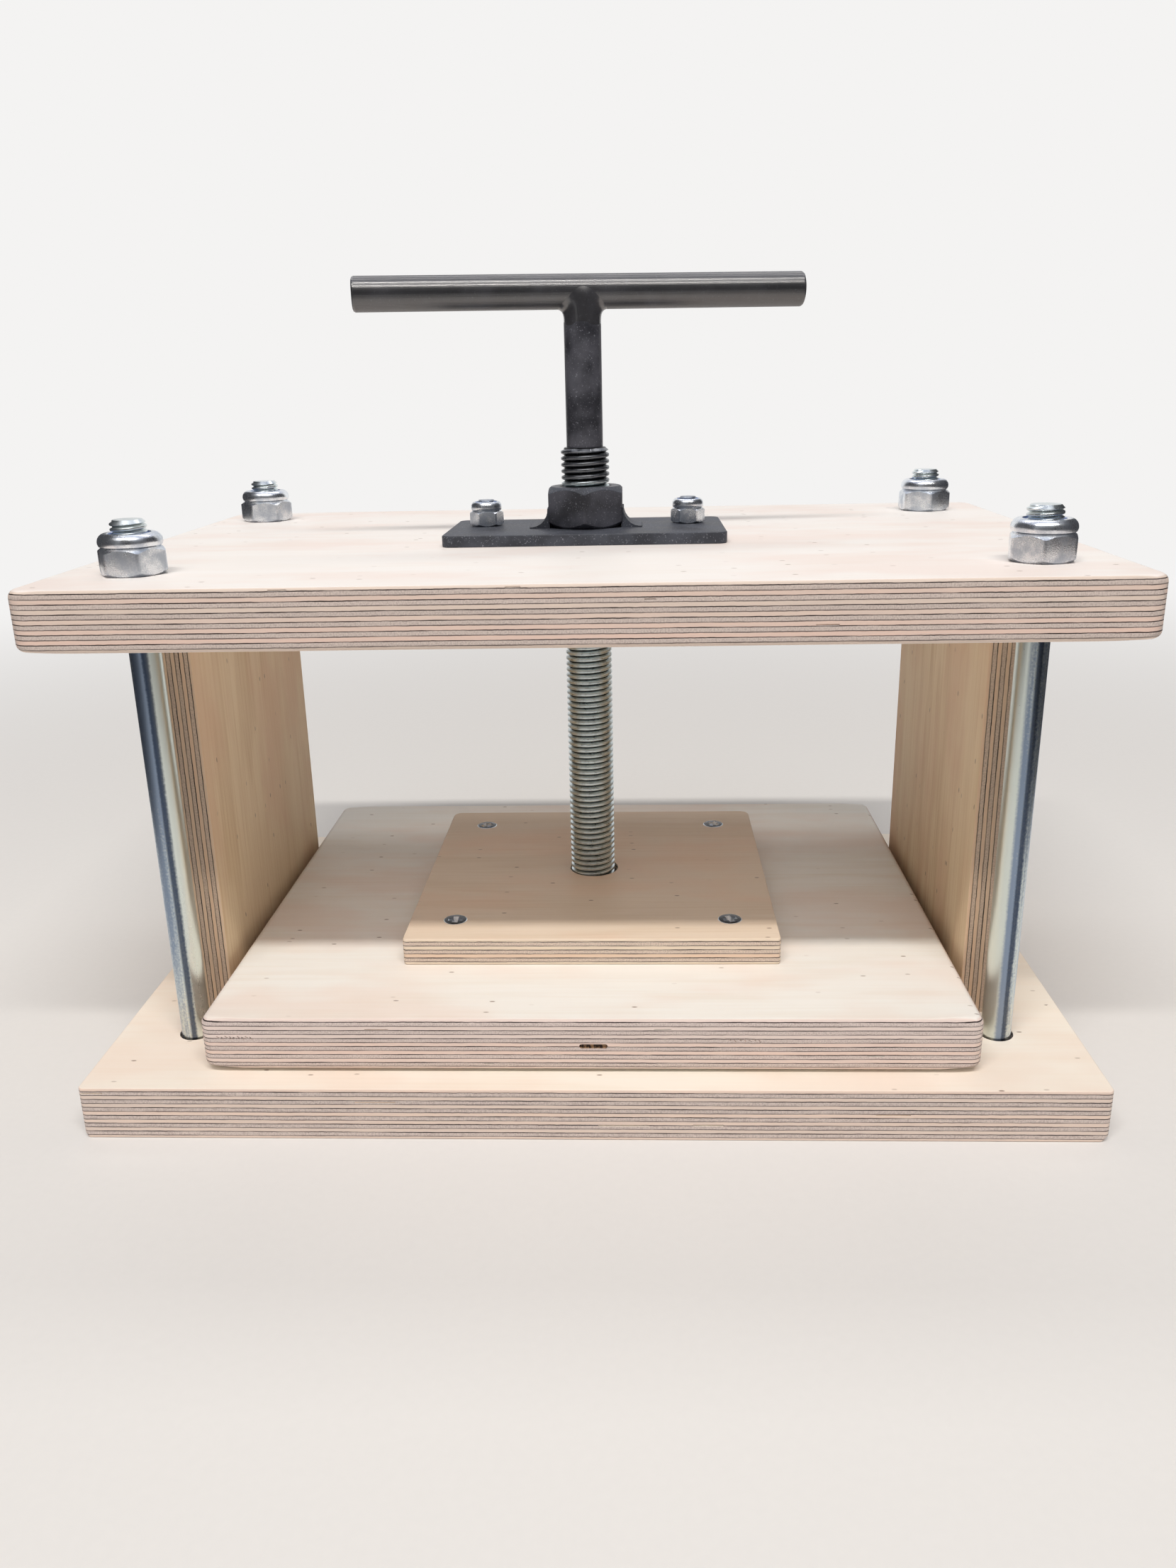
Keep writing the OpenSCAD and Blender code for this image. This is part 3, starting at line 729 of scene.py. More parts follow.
# %% [markdown]
# ## The boards
#
# Each board is a sawn rectangle of plywood with rounded corners and sanded edges, drilled for its
# bolts. A cube at the board's size is the blank, and its upright corners are bevelled. On the top
# board and the pressing board the sander took more off the two short ends, where it was tipped
# over. Those edges get a full bevel weight and the long ones a part of it, and one Bevel modifier
# rounds them all. Drills are Booleans, so that the plies show in the holes as well.

# %% Helpers for boards
def round_ends(blank, corner, sanded, ends):
    """Rounds a board's flat edges: a little along its sides, more at its two ends."""
    xs = [vertex.co.x for vertex in blank.data.vertices]
    centre, half = (min(xs) + max(xs)) / 2, (max(xs) - min(xs)) / 2

    def lies_flat(edge):
        """Whether the edge runs level, round the board's upper or lower face."""
        return rise_of(edge) < 0.1 * MM

    def ends_board(edge):
        """Whether the edge runs level along one of the board's two short ends."""
        return lies_flat(edge) and abs(middle(edge).x - centre) > half - corner

    take(blank, "EDGE", lies_flat)
    bpy.ops.transform.edge_bevelweight(value=sanded / ends)
    take(blank, "EDGE", ends_board)
    bpy.ops.transform.edge_bevelweight(value=1 - sanded / ends)
    change = blank.modifiers.new("Sanded edges", "BEVEL")
    change.width = ends
    change.segments = 4
    change.limit_method = "WEIGHT"
    apply_modifier(blank, change)


def board(name, node, corner, sanded, ends=0.0, chips=(), back_corner=None):
    """A board blank: a cube at the node's place, with round corners and sanded edges."""
    low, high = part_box(node)
    blank = start(name, bpy.ops.mesh.primitive_cube_add, size=1, location=(low + high) / 2,
                  scale=high - low)
    upright = (high.z - low.z) * 0.9
    for side, radius in ((-1, corner), (1, back_corner or corner)):
        take(blank, "EDGE", lambda edge: rise_of(edge) > upright and middle(edge).y * side > 0)
        bpy.ops.mesh.bevel(offset=radius, segments=6, affect="EDGES")
    for place, outward in chips:
        saw_off(blank, place, outward)
    if ends:
        round_ends(blank, corner, sanded, ends)
    else:
        soften(blank, sanded, 3)
    return blank


def drill(work_piece, radius, place, z_low, z_high, sides=48):
    """Drills a hole through everything between two heights."""
    work(work_piece, rod("drill", radius, z_low - MM, z_high + MM, place.x, place.y, sides))


# %% [markdown]
# The pressing board and the base were sawn, not moulded: fibres tore out of their edges here and
# there, and two lower corners of the base are knocked off. A tear is a thin sliver, made from a
# cube and taken out of the edge; a knocked corner is one slanting saw cut.

# %% Tears
def tear(work_piece, place, length, height, depth=0.5 * MM, slant=0.0):
    """A shallow torn-out sliver in a front edge."""
    sliver = start("sliver", bpy.ops.mesh.primitive_cube_add, size=1, location=place,
                   rotation=(0, slant, 0), scale=(length, 2 * depth, height))
    take(sliver, "EDGE", lambda edge: abs(edge.verts[0].co.y - edge.verts[1].co.y) > depth)
    bpy.ops.mesh.bevel(offset=height * 0.42, segments=2, affect="EDGES")
    work(work_piece, sliver)


def torn_fibres(work_piece, left, right, front, z, count, steps):
    """A row of short slanting slivers, where the saw tore fibres out of one ply."""
    for i in range(count):
        x = left + (right - left) * (i + 0.5) / count
        lift, lean = steps[i % len(steps)]
        tear(work_piece, (x, front, z + lift * MM), length=1.3 * MM, height=0.34 * MM,
             depth=0.3 * MM, slant=math.radians(lean))


# How much each sliver of a row is lifted, in mm, and how far it leans, in degrees.
STEPS = ((0.1, 38), (-0.15, 52), (0.2, 44), (0.0, 61), (-0.1, 35), (0.15, 49), (-0.2, 57))


# %% Base board
base_left, base_front = BASE_LOW.x, BASE_LOW.y
CHIPS = (((BASE_HIGH.x - 2.4 * MM, base_front, 0), (1, -0.5, -1.0)),
         ((base_left + 1.6 * MM, base_front, 0), (-1, -0.5, -0.8)))
base = board("plywood_base", "base_board", 1.6 * MM, 0.8 * MM, chips=CHIPS)
TIE_HOLE_R, HEAD_RECESS_R = 5.25 * MM, 12 * MM
for corner, place in TIE_PLACES.items():
    washer_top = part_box("tie_washer_" + corner)[1].z
    drill(base, TIE_HOLE_R, place, BASE_LOW.z, BASE_HIGH.z)
    drill(base, HEAD_RECESS_R, place, BASE_LOW.z, washer_top - MM)
for x, z, length, height in ((10.5, 4.9, 15, 0.5), (35, 5.1, 9, 0.45), (-146, 15.1, 7, 0.5),
                             (-62, 12.4, 12, 0.35), (88, 8.7, 10, 0.35)):
    tear(base, (x * MM, base_front, z * MM), length * MM, height * MM)
settle_normals(base)
hand_over(base, base_ply, "frame", "birch_plywood", "base_board")

# %% Top board
top = board("plywood_top", "top_board", 6 * MM, 0.8 * MM, 2.2 * MM)
for place in TIE_PLACES.values():
    drill(top, TIE_HOLE_R, place, TOP_LOW.z, TOP_HIGH.z)
SCREW_HOLE_R, PLATE_BOLT_HOLE_R = 9 * MM, 3.2 * MM
drill(top, SCREW_HOLE_R, SCREW_AXIS, TOP_LOW.z, TOP_HIGH.z)
for place in PLATE_BOLT_PLACES.values():
    drill(top, PLATE_BOLT_HOLE_R, place, TOP_LOW.z, TOP_HIGH.z, 32)
    sink = turned("countersink", [(0, -MM), (7 * MM, -MM), (3 * MM, 3 * MM), (0, 3 * MM)], 48)
    sink.location = (place.x, place.y, TOP_LOW.z)
    work(top, sink)
for x, z, length in ((-16.2, 161.3, 4), (18.8, 157.8, 3), (-77, 161.3, 5), (64, 150.6, 6)):
    tear(top, (x * MM, TOP_LOW.y, z * MM), length * MM, 0.45 * MM)
settle_normals(top)
hand_over(top, top_ply, "frame", "birch_plywood", "top_board")

# %% Pressing board
pressing = board("plywood_pressing_board", "pressing_board", 3.4 * MM, 0.8 * MM, 2.6 * MM)
POCKET_R, POCKET_LOW = 14 * MM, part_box("thrust_plate")[0].z
drill(pressing, POCKET_R, SCREW_AXIS, POCKET_LOW + MM, PRESS_HIGH.z, 64)
WOOD_SCREW_HOLE_R, WOOD_SCREW_HOLE_DEPTH = 2 * MM, 19 * MM
for place in RETAINER_SCREW_PLACES.values():
    hole_low = RETAINER_HIGH.z - WOOD_SCREW_HOLE_DEPTH
    drill(pressing, WOOD_SCREW_HOLE_R, place, hole_low, PRESS_HIGH.z, 24)
PRESS_FRONT = PRESS_LOW.y
for x, z, length in ((-29.2, 19.9, 3), (84, 22.6, 5), (-62, 31.2, 7), (22, 31.3, 5)):
    tear(pressing, (x * MM, PRESS_FRONT, z * MM), length * MM, 0.3 * MM)
torn_fibres(pressing, -110 * MM, -99 * MM, PRESS_FRONT, 28.4 * MM, 9, STEPS)
torn_fibres(pressing, 41 * MM, 51 * MM, PRESS_FRONT, 27.7 * MM, 7, STEPS)
# A knot hole in one inner ply shows as a dark slot, 8 mm long, with brown wood inside, which gets
# its own material in the next cell.
KNOT_X, KNOT_Z = (-2.4 * MM, 5.9 * MM), 25.8 * MM
tear(pressing, (sum(KNOT_X) / 2, PRESS_FRONT, KNOT_Z), length=KNOT_X[1] - KNOT_X[0],
     height=1.35 * MM, depth=0.6 * MM)
settle_normals(pressing)
hand_over(pressing, press_ply, "pressing_head", "birch_plywood", "pressing_board")

# %% Knot
knot_brown, tree = new_material("dark knot wood")
place = add_node(tree, "TexCoord")["Object"]
scaled = add_node(tree, "Mapping", {"Vector": place, "Scale": (900, 900, 400)})[0]
fibres = add_node(tree, "TexNoise", {"Vector": scaled, "Scale": 1.0, "Detail": 3.0})[0]
dashes = add_node(tree, "MapRange", (fibres, 0.45, 0.6), **EASED)[0]
colour = add_node(tree, "Mix", {0: dashes, 6: linear("#3c291d"), 7: linear("#a98562")},
                  **COLOURS)[2]
bump = add_node(tree, "Bump", {"Height": fibres, "Distance": 0.1 * MM, "Strength": 1.0})[0]
knot = add_node(tree, "BsdfPrincipled", {"Base Color": colour, "Roughness": 0.6,
                                         "Normal": bump})[0]
add_node(tree, "OutputMaterial", (knot,))


def in_knot(face):
    """Whether a face lies inside the knot's slot."""
    spot = middle(face)
    return (KNOT_X[0] - MM < spot.x < KNOT_X[1] + MM and abs(spot.z - KNOT_Z) < 0.7 * MM
            and PRESS_FRONT + 0.02 * MM < spot.y < PRESS_FRONT + MM)


paint_faces(pressing, knot_brown, in_knot)

# %% Retainer board
retainer = board("plywood_retainer", "retainer_board", 1.2 * MM, 0.5 * MM, back_corner=3.5 * MM)
# The hole was drilled a little to the right of the screw, which leaves a dark crescent there.
retainer_hole = Vector((SCREW_X + 0.4 * MM, 0, 0))
drill(retainer, 8.6 * MM, retainer_hole, RETAINER_LOW.z, RETAINER_HIGH.z, 64)
HEAD_R = 3.95 * MM
for place in RETAINER_SCREW_PLACES.values():
    drill(retainer, WOOD_SCREW_HOLE_R, place, RETAINER_LOW.z, RETAINER_HIGH.z, 24)
    seat = turned("seat", [(0, -2 * MM), (WOOD_SCREW_HOLE_R, -2 * MM), (HEAD_R, -0.05 * MM),
                           (HEAD_R + 0.35 * MM, 0.02 * MM), (HEAD_R + 0.4 * MM, MM), (0, MM)], 48)
    seat.location = (place.x, place.y, RETAINER_HIGH.z)
    work(retainer, seat)
settle_normals(retainer)
hand_over(retainer, retainer_ply, "pressing_head", "birch_plywood", "retainer_board")

# %% [markdown]
# ## The side panels
#
# Two upright panels hold the boards apart. They are the same plywood, standing on edge, so their
# front shows the plies as upright stripes. The blank is a cube, and only its upright arrises are
# sanded, because its ends are clamped between the boards.

# %% Side panels
for side in ("left", "right"):
    low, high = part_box("side_panel_" + side)
    panel = start("plywood_panel_" + side, bpy.ops.mesh.primitive_cube_add, size=1,
                  location=(low + high) / 2, scale=high - low)
    take(panel, "EDGE", lambda edge: rise_of(edge) > 50 * MM)
    bpy.ops.mesh.bevel(offset=0.5 * MM, segments=3, affect="EDGES")
    to_object_mode()
    settle_normals(panel)
    hand_over(panel, panel_ply[side], "frame", "birch_plywood", "side_panel_" + side)

# %% [markdown]
# ## The tie bolts
#
# Four long bolts clamp the frame together. Each is a hexagon head sunk under the base, a smooth
# shank that was rolled thinner than its thread, and 32 mm of M10 thread. One bolt is modelled and
# copied. The thread's tip is chamfered by keeping only what lies inside a bevelled blank.

# %% Tie bolt
TIE_FLATS = 17 * MM         # one wrench fits head and nut
TIE_HEAD_LOW, TIE_TIP = (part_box("tie_bolt_front_left")[i].z for i in (0, 1))
TIE_SHOULDER = TIE_HEAD_LOW + 6.4 * MM
TIE_THREAD_LOW = TIE_TIP - 32 * MM
TIE_SHANK_R, TIE_THREAD_R = 4.5 * MM, 4.95 * MM
tie_model = hexagon("tie bolt model", TIE_FLATS, TIE_HEAD_LOW, TIE_SHOULDER)
shank = turned("shank", [(0, TIE_SHOULDER - MM), (TIE_SHANK_R, TIE_SHOULDER - MM),
                         (TIE_SHANK_R, TIE_THREAD_LOW - MM), (4.3 * MM, TIE_THREAD_LOW + MM),
                         (0, TIE_THREAD_LOW + MM)])
work(tie_model, shank, "UNION")
thread = threaded_rod("tie thread", TIE_THREAD_R, 1.5 * MM, TIE_THREAD_LOW, TIE_TIP + MM)
blank = turned("tip blank", [(0, TIE_THREAD_LOW - MM), (6 * MM, TIE_THREAD_LOW - MM),
                             (6 * MM, TIE_TIP - 2.05 * MM), (3.95 * MM, TIE_TIP), (0, TIE_TIP)])
work(thread, blank, "INTERSECT")
work(tie_model, thread, "UNION")
settle_normals(tie_model, 40)
for corner, place in TIE_PLACES.items():
    bolt = clone(tie_model, "zinc_tie_bolt_" + corner, (place.x, place.y, 0))
    hand_over(bolt, zinc_bolt, "frame", "zinc_plated_steel", "tie_bolt_" + corner)
discard(tie_model)

# %% [markdown]
# ## The lock nuts
#
# On top of the boards sit self-locking nuts: a hexagon with chamfered corners, and above it a round
# collar that is rolled inwards over a nylon ring. The collar is a turned outline, joined to the
# hexagon, and the bore is drilled from below. The same functions make the M10 and the M6 nuts.

# %% Lock nuts
POCKET_SHARE = 0.84         # the ring's pocket, as a share of half the nut's width


def lock_nut(name, across_flats, thread_r, height, hex_height):
    """A lock nut standing on z = 0."""
    half = across_flats / 2
    collar_h = height - hex_height
    pocket_r, lip_r, lip_t = half * POCKET_SHARE, thread_r + 0.9 * MM, 0.5 * MM
    nut = hexagon(name, across_flats, 0, hex_height, corner=0.09 * half)
    share = ((0.94, -1 / collar_h * MM), (0.94, 0), (1.0, 0.1), (1.03, 0.3), (1.028, 0.45),
             (1.01, 0.62), (0.975, 0.76), (0.93, 0.87), (0.88, 0.95), (0.82, 1.0))
    outside = [(half * out, hex_height + collar_h * up) for out, up in share]
    inside = [(lip_r, height), (lip_r - 0.15 * MM, height - 0.15 * MM), (lip_r, height - lip_t),
              (pocket_r, height - lip_t), (pocket_r, hex_height), (0, hex_height)]
    foot = [(0, outside[0][1])]
    collar = turned("collar", foot + outside + inside, 96)
    work(nut, collar, "UNION")
    work(nut, rod("tap", thread_r, -MM, hex_height + MM))
    settle_normals(nut, 32)
    return nut


def lock_ring(name, across_flats, bore_r, height, hex_height):
    """The nylon ring in a lock nut's collar; its bore is as tight as the thread's root."""
    outer = across_flats / 2 * POCKET_SHARE - 0.05 * MM
    low, high = hex_height + 0.02 * MM, height - 0.52 * MM
    crown = 0.15 * MM
    points = [(bore_r, low), (outer, low), (outer, high), (bore_r + 3 * crown, high),
              (bore_r + crown, high - 0.3 * crown), (bore_r, high - 1.5 * crown), (bore_r, low)]
    ring = turned(name, points)
    settle_normals(ring)
    return ring


def fit_nut(kind, where, place, height, turn):
    """Sets a copy of a nut and its ring on a bolt, the nut turned by some degrees."""
    at = (place.x, place.y, height)
    nut = clone(nut_models[kind], f"zinc_{kind}_nut_{where}", at, math.radians(turn))
    hand_over(nut, zinc_nut, "frame", "zinc_plated_steel", f"{kind}_nut_{where}")
    ring = clone(ring_models[kind], f"nylon_{kind}_ring_{where}", at)
    hand_over(ring, nylon, "frame", "nylon", f"{kind}_insert_{where}")


# %% Nuts on the tie bolts
TIE_NUT = {"across_flats": TIE_FLATS, "height": 11.5 * MM, "hex_height": 7.7 * MM}
TIE_NUT_TURNS = {"front_left": 1, "front_right": 16, "back_left": 10, "back_right": 33}
nut_models = {"tie": lock_nut("tie nut model", thread_r=5 * MM, **TIE_NUT)}
ring_models = {"tie": lock_ring("tie ring model", bore_r=4.3 * MM, **TIE_NUT)}
for corner, turn in TIE_NUT_TURNS.items():
    fit_nut("tie", corner, TIE_PLACES[corner], TOP_HIGH.z, turn)

# %% [markdown]
# ## The plate and its bolts
#
# A flat steel plate spreads the screw's push over the top board. It is held by two M6 bolts that
# come up from below, with small lock nuts. The plate was cut from flat bar and painted, so it gets
# small corners and a slight arris.

# %% Plate
plate = board("painted_nut_plate", "nut_plate", 3 * MM, 0.35 * MM)
drill(plate, SCREW_HOLE_R, SCREW_AXIS, TOP_HIGH.z, PLATE_TOP, 64)
for place in PLATE_BOLT_PLACES.values():
    drill(plate, PLATE_BOLT_HOLE_R, place, TOP_HIGH.z, PLATE_TOP, 32)
settle_normals(plate)
hand_over(plate, enamel_plate, "frame", "black_painted_steel", "nut_plate")

# %% Plate bolts
PLATE_BOLT_LOW, PLATE_BOLT_TIP = (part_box("plate_bolt_left")[i].z for i in (0, 1))
PLATE_BOLT_R, PLATE_BOLT_PITCH = 2.95 * MM, 1.0 * MM
plate_bolt_model = turned("plate bolt model", [
    (0, PLATE_BOLT_LOW), (5.9 * MM, PLATE_BOLT_LOW), (6 * MM, PLATE_BOLT_LOW + 0.15 * MM),
    (PLATE_BOLT_R, PLATE_BOLT_LOW + 3.1 * MM), (PLATE_BOLT_R, TOP_HIGH.z - MM),
    (2.6 * MM, TOP_HIGH.z + MM), (0, TOP_HIGH.z + MM)], 48)
thread = threaded_rod("plate bolt thread", PLATE_BOLT_R, PLATE_BOLT_PITCH, TOP_HIGH.z,
                      PLATE_BOLT_TIP + MM, 40)
blank = turned("tip blank", [(0, TOP_HIGH.z - MM), (4 * MM, TOP_HIGH.z - MM),
                             (4 * MM, PLATE_BOLT_TIP - 1.5 * MM), (2.5 * MM, PLATE_BOLT_TIP),
                             (0, PLATE_BOLT_TIP)], 48)
work(thread, blank, "INTERSECT")
work(plate_bolt_model, thread, "UNION")
socket = start("key socket", bpy.ops.mesh.primitive_cylinder_add, vertices=6, radius=2.31 * MM,
               depth=4 * MM, location=(0, 0, PLATE_BOLT_LOW))
work(plate_bolt_model, socket)
settle_normals(plate_bolt_model, 40)

# %% Nuts on the plate bolts
PLATE_NUT = {"across_flats": 10 * MM, "height": 7.9 * MM, "hex_height": 5 * MM}
nut_models["plate"] = lock_nut("plate nut model", thread_r=3 * MM, **PLATE_NUT)
ring_models["plate"] = lock_ring("plate ring model", bore_r=2.5 * MM, **PLATE_NUT)
for side, turn in (("left", 8), ("right", 0)):
    place = PLATE_BOLT_PLACES[side]
    bolt = clone(plate_bolt_model, "zinc_plate_bolt_" + side, (place.x, place.y, 0))
    hand_over(bolt, zinc_plain, "frame", "zinc_plated_steel", "plate_bolt_" + side)
    fit_nut("plate", side, place, PLATE_TOP, turn)
for model in (plate_bolt_model, *nut_models.values(), *ring_models.values()):
    discard(model)

# %% [markdown]
# ## The press nut and its welds
#
# The press nut is a plain hexagon nut, one corner to the front, welded to the plate on its two
# side flats and painted over. Its mouth is countersunk. Each weld is a hollow fillet laid along a
# flat, so its outline is drawn once and then extruded ripple by ripple, each a little larger or
# smaller than the last, as a weld freezes.

# %% Press nut
NUT_HALF = 12 * MM          # from the nut's axis to its flats
NUT_BORE_R = 7.9 * MM
press_nut = hexagon("press nut", 2 * NUT_HALF, PLATE_TOP, NUT_TOP, math.radians(30), 0.6 * MM, 40)
bore = turned("bore", [(0, PLATE_TOP - MM), (NUT_BORE_R, PLATE_TOP - MM),
                       (NUT_BORE_R, NUT_TOP - 0.9 * MM), (NUT_BORE_R + 1.9 * MM, NUT_TOP + MM),
                       (0, NUT_TOP + MM)], 96)
work(press_nut, bore)
soften(press_nut, 0.12 * MM, 2, 25)
settle_normals(press_nut, 30)
painted_nut = clone(press_nut, "painted_press_nut", (SCREW_X, 0, 0))
discard(press_nut)
hand_over(painted_nut, enamel_neck, "frame", "black_painted_steel", "press_nut")


def on_upper_chamfer(face):
    """Whether a face belongs to the slanting rim round the nut's top."""
    spot = middle(face)
    return (spot.z > NUT_TOP - 4 * MM and 0.2 < face.normal.z < 0.95
            and (spot - Vector((SCREW_X, 0, NUT_TOP))).xy.length > 10.5 * MM)


# Painted highlight: the nut's upper chamfers get the paler, dusty enamel, so that they show as
# pale arcs where they catch the light.
paint_faces(painted_nut, enamel_plate, on_upper_chamfer)

# %% Welds
def weld_bead(name, side):
    """A hollow fillet between one of the nut's side flats and the plate."""
    low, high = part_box("nut_weld_" + side)
    leg, toe = 5.5 * MM, 0.4 * MM
    reach = leg + toe
    arc = [math.radians(a) for a in (176, 190, 205, 220, 235, 250, 265, 274)]
    hollow = [(reach + leg * math.cos(a), reach + leg * math.sin(a)) for a in arc]
    outline = [(-0.3 * MM, -0.05 * MM), (-0.3 * MM, hollow[0][1])] + hollow
    outline += [(hollow[-1][0], -0.05 * MM), (-0.3 * MM, -0.05 * MM)]
    bead = draw_outline("weld bead", outline)
    close_up(bead)
    take(bead, "EDGE", everything)
    bpy.ops.mesh.edge_face_add()
    ripples = 14
    step = {"value": (0, (high.y - low.y) / ripples, 0)}
    for i in range(ripples):
        bpy.ops.mesh.extrude_region_move(TRANSFORM_OT_translate=step)
        if 0 < i < ripples - 1:
            swell = 1.035 if i % 2 else 1 / 1.035
            bpy.ops.transform.resize(value=(swell, 1, swell), center_override=(0, 0, 0))
    close_up(bead)
    if side == "right":
        laid = clone(bead, name, (SCREW_X + NUT_HALF, low.y, PLATE_TOP))
    else:
        laid = clone(bead, name, (SCREW_X - NUT_HALF, high.y, PLATE_TOP), math.pi)
    discard(bead)
    return laid


for side in ("left", "right"):
    bead = weld_bead("painted_weld_" + side, side)
    settle_normals(bead, 50)
    hand_over(bead, enamel_plate, "frame", "black_painted_steel", "nut_weld_" + side)

# %% [markdown]
# ## The press screw
#
# The screw is an M16 rod with a coarse thread of 2 mm a turn. Its upper end was turned down to a
# plain neck for the handle, which left a chamfer at the top of the thread, and its lower end to a
# short spigot. The thread is a real helix, so a turn of the handle moves it as the eye expects.

# %% Press screw
BAR_R = 5.2 * MM
BAR_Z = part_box("handle_bar")[1].z - BAR_R
THREAD_LOW, THREAD_TOP = PRESS_HIGH.z - 0.3 * MM, 190.8 * MM
NECK_R, NECK_TOP = 5.9 * MM, BAR_Z - 3.5 * MM
SPIGOT_R, SPIGOT_LOW = 5 * MM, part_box("press_screw")[0].z
FOOT_BORE_R, FOOT_BORE_TOP = 3 * MM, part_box("disc_screw")[1].z
screw_model = threaded_rod("screw thread", SCREW_R, SCREW_PITCH, THREAD_LOW, THREAD_TOP + MM, 56)
blank = turned("screw blank", [(0, THREAD_LOW - MM), (9 * MM, THREAD_LOW - MM),
                               (9 * MM, THREAD_TOP - 2.2 * MM), (6.6 * MM, THREAD_TOP),
                               (0, THREAD_TOP)], 96)
work(screw_model, blank, "INTERSECT")
neck = turned("neck", [(0, THREAD_TOP - 3 * MM), (NECK_R, THREAD_TOP - 3 * MM),
                       (NECK_R, BAR_Z - 9 * MM), (NECK_R - 0.6 * MM, BAR_Z - 8.4 * MM),
                       (NECK_R - 0.6 * MM, NECK_TOP), (0, NECK_TOP)], 96)
work(screw_model, neck, "UNION")
spigot = rod("spigot", SPIGOT_R, SPIGOT_LOW, THREAD_LOW + MM)
work(screw_model, spigot, "UNION")
bore = rod("foot bore", FOOT_BORE_R, SPIGOT_LOW - MM, FOOT_BORE_TOP, sides=48)
work(screw_model, bore)
settle_normals(screw_model, 50)
screw = clone(screw_model, "steel_press_screw", (SCREW_X, 0, 0))
discard(screw_model)
hand_over(screw, screw_steel, "screw", "bare_steel", "press_screw")
paint_faces(screw, enamel_neck, lambda face: middle(face).z > THREAD_TOP + 0.05 * MM)

# %% [markdown]
# ## The handle
#
# A round bar is welded across the neck, and both were painted together. The bar's ends have a small
# turned chamfer. The weld was ground until neck and bar flow into each other, so it is made as a
# skin: a short, slightly thicker piece of neck and bar are joined, remeshed with fine voxels and
# smoothed again and again. Smoothing fills the inner corners with round hollows, as the weld does,
# and shrinks the rest back to the surfaces of bar and neck.

# %% Handle bar
BAR_TURN = math.radians(9)
BAR_HALF = 71 * MM


def lying_rod(name, radius, half_length, sides=96):
    """A round bar along the handle's line."""
    return start(name, bpy.ops.mesh.primitive_cylinder_add, vertices=sides, radius=radius,
                 depth=2 * half_length, location=(SCREW_X, 0, BAR_Z),
                 rotation=(0, math.pi / 2, BAR_TURN))


def at_bar_end(edge):
    """Whether both corners of an edge lie at an end of the bar."""
    along = Vector((math.cos(BAR_TURN), math.sin(BAR_TURN), 0))
    centre = Vector((SCREW_X, 0, BAR_Z))
    return all(abs((corner.co - centre).dot(along)) > BAR_HALF - MM for corner in edge.verts)


bar = lying_rod("painted_handle_bar", BAR_R, BAR_HALF)
take(bar, "EDGE", at_bar_end)
bpy.ops.mesh.bevel(offset=0.8 * MM, segments=2, affect="EDGES")
to_object_mode()
settle_normals(bar, 40)
hand_over(bar, enamel_bar, "screw", "black_painted_steel", "handle_bar")

# %% Handle weld
weld = rod("painted_handle_weld", NECK_R + 0.17 * MM, BAR_Z - 13 * MM, BAR_Z, SCREW_X, 0, 96)
work(weld, lying_rod("weld core", BAR_R + 0.05 * MM, 12 * MM), "UNION")
remesh = weld.modifiers.new("Weld skin", "REMESH")
remesh.mode = "VOXEL"
remesh.voxel_size = 0.45 * MM
apply_modifier(weld, remesh)
relax = weld.modifiers.new("Ground smooth", "SMOOTH")
relax.factor = 0.5
relax.iterations = 120
apply_modifier(weld, relax)
choose(weld)
bpy.ops.object.shade_smooth()
skin_top = max(vertex.co.z for vertex in weld.data.vertices)
print("the weld's top is", round((BAR_Z + BAR_R - skin_top) / MM, 3), "mm under the bar's")
hand_over(weld, enamel_bar, "screw", "black_painted_steel", "handle_weld")

# %% [markdown]
# ## The retainer screws
#
# Four wood screws hold the retainer board down. Only their countersunk heads show, flush with the
# wood and polished. Their metal is painted dark, a painted reflection of the dark room they mirror,
# while the cross recess and the rim keep the bright zinc. The head and shank are turned, the wood
# thread is the same helper as before with a steep pitch, and the recess is two crossed wedges.

# %% Retainer screws
def wedge(turn):
    """One bar of the cross recess, narrower at its bottom."""
    bar_piece = start("wedge", bpy.ops.mesh.primitive_cube_add, size=1,
                      location=(0, 0, -0.1 * MM), scale=(6.8 * MM, 2.6 * MM, 2.2 * MM),
                      rotation=(0, 0, turn))
    take(bar_piece, "FACE", lambda face: face.normal.z < -0.9)
    bpy.ops.transform.resize(value=(0.35, 0.3, 1), center_override=(0, 0, -1.2 * MM))
    to_object_mode()
    return bar_piece


wood_screw_model = turned("wood screw model", [
    (0, -3.6 * MM), (1.9 * MM, -3.6 * MM), (1.9 * MM, -2.1 * MM), (3.85 * MM, -0.3 * MM),
    (3.93 * MM, -0.2 * MM), (3.66 * MM, 0), (0, 0)])
shank = threaded_rod("wood thread", 1.95 * MM, 1.6 * MM, -19.5 * MM, -3 * MM, 32)
point = turned("point blank", [(0, -20 * MM), (0.1 * MM, -20 * MM), (3.0 * MM, -15.5 * MM),
                               (3.0 * MM, -2 * MM), (0, -2 * MM)], 48)
work(shank, point, "INTERSECT")
work(wood_screw_model, shank, "UNION")
for turn in (0, math.pi / 2):
    work(wood_screw_model, wedge(turn))
settle_normals(wood_screw_model, 40)


def in_recess_or_rim(place):
    """A test for the faces of one screw head that keep the bright zinc, outside its painted dark
    reflection.
    """
    axis, top_z = Vector((place.x, place.y)), RETAINER_HIGH.z

    def shines(face):
        """Whether the face lies in the cross recess or on the head's rim."""
        spot = middle(face)
        return (top_z - 1.95 * MM < spot.z < top_z - 0.02 * MM
                and not 2.6 * MM < (spot.xy - axis).length < 3.6 * MM)

    return shines


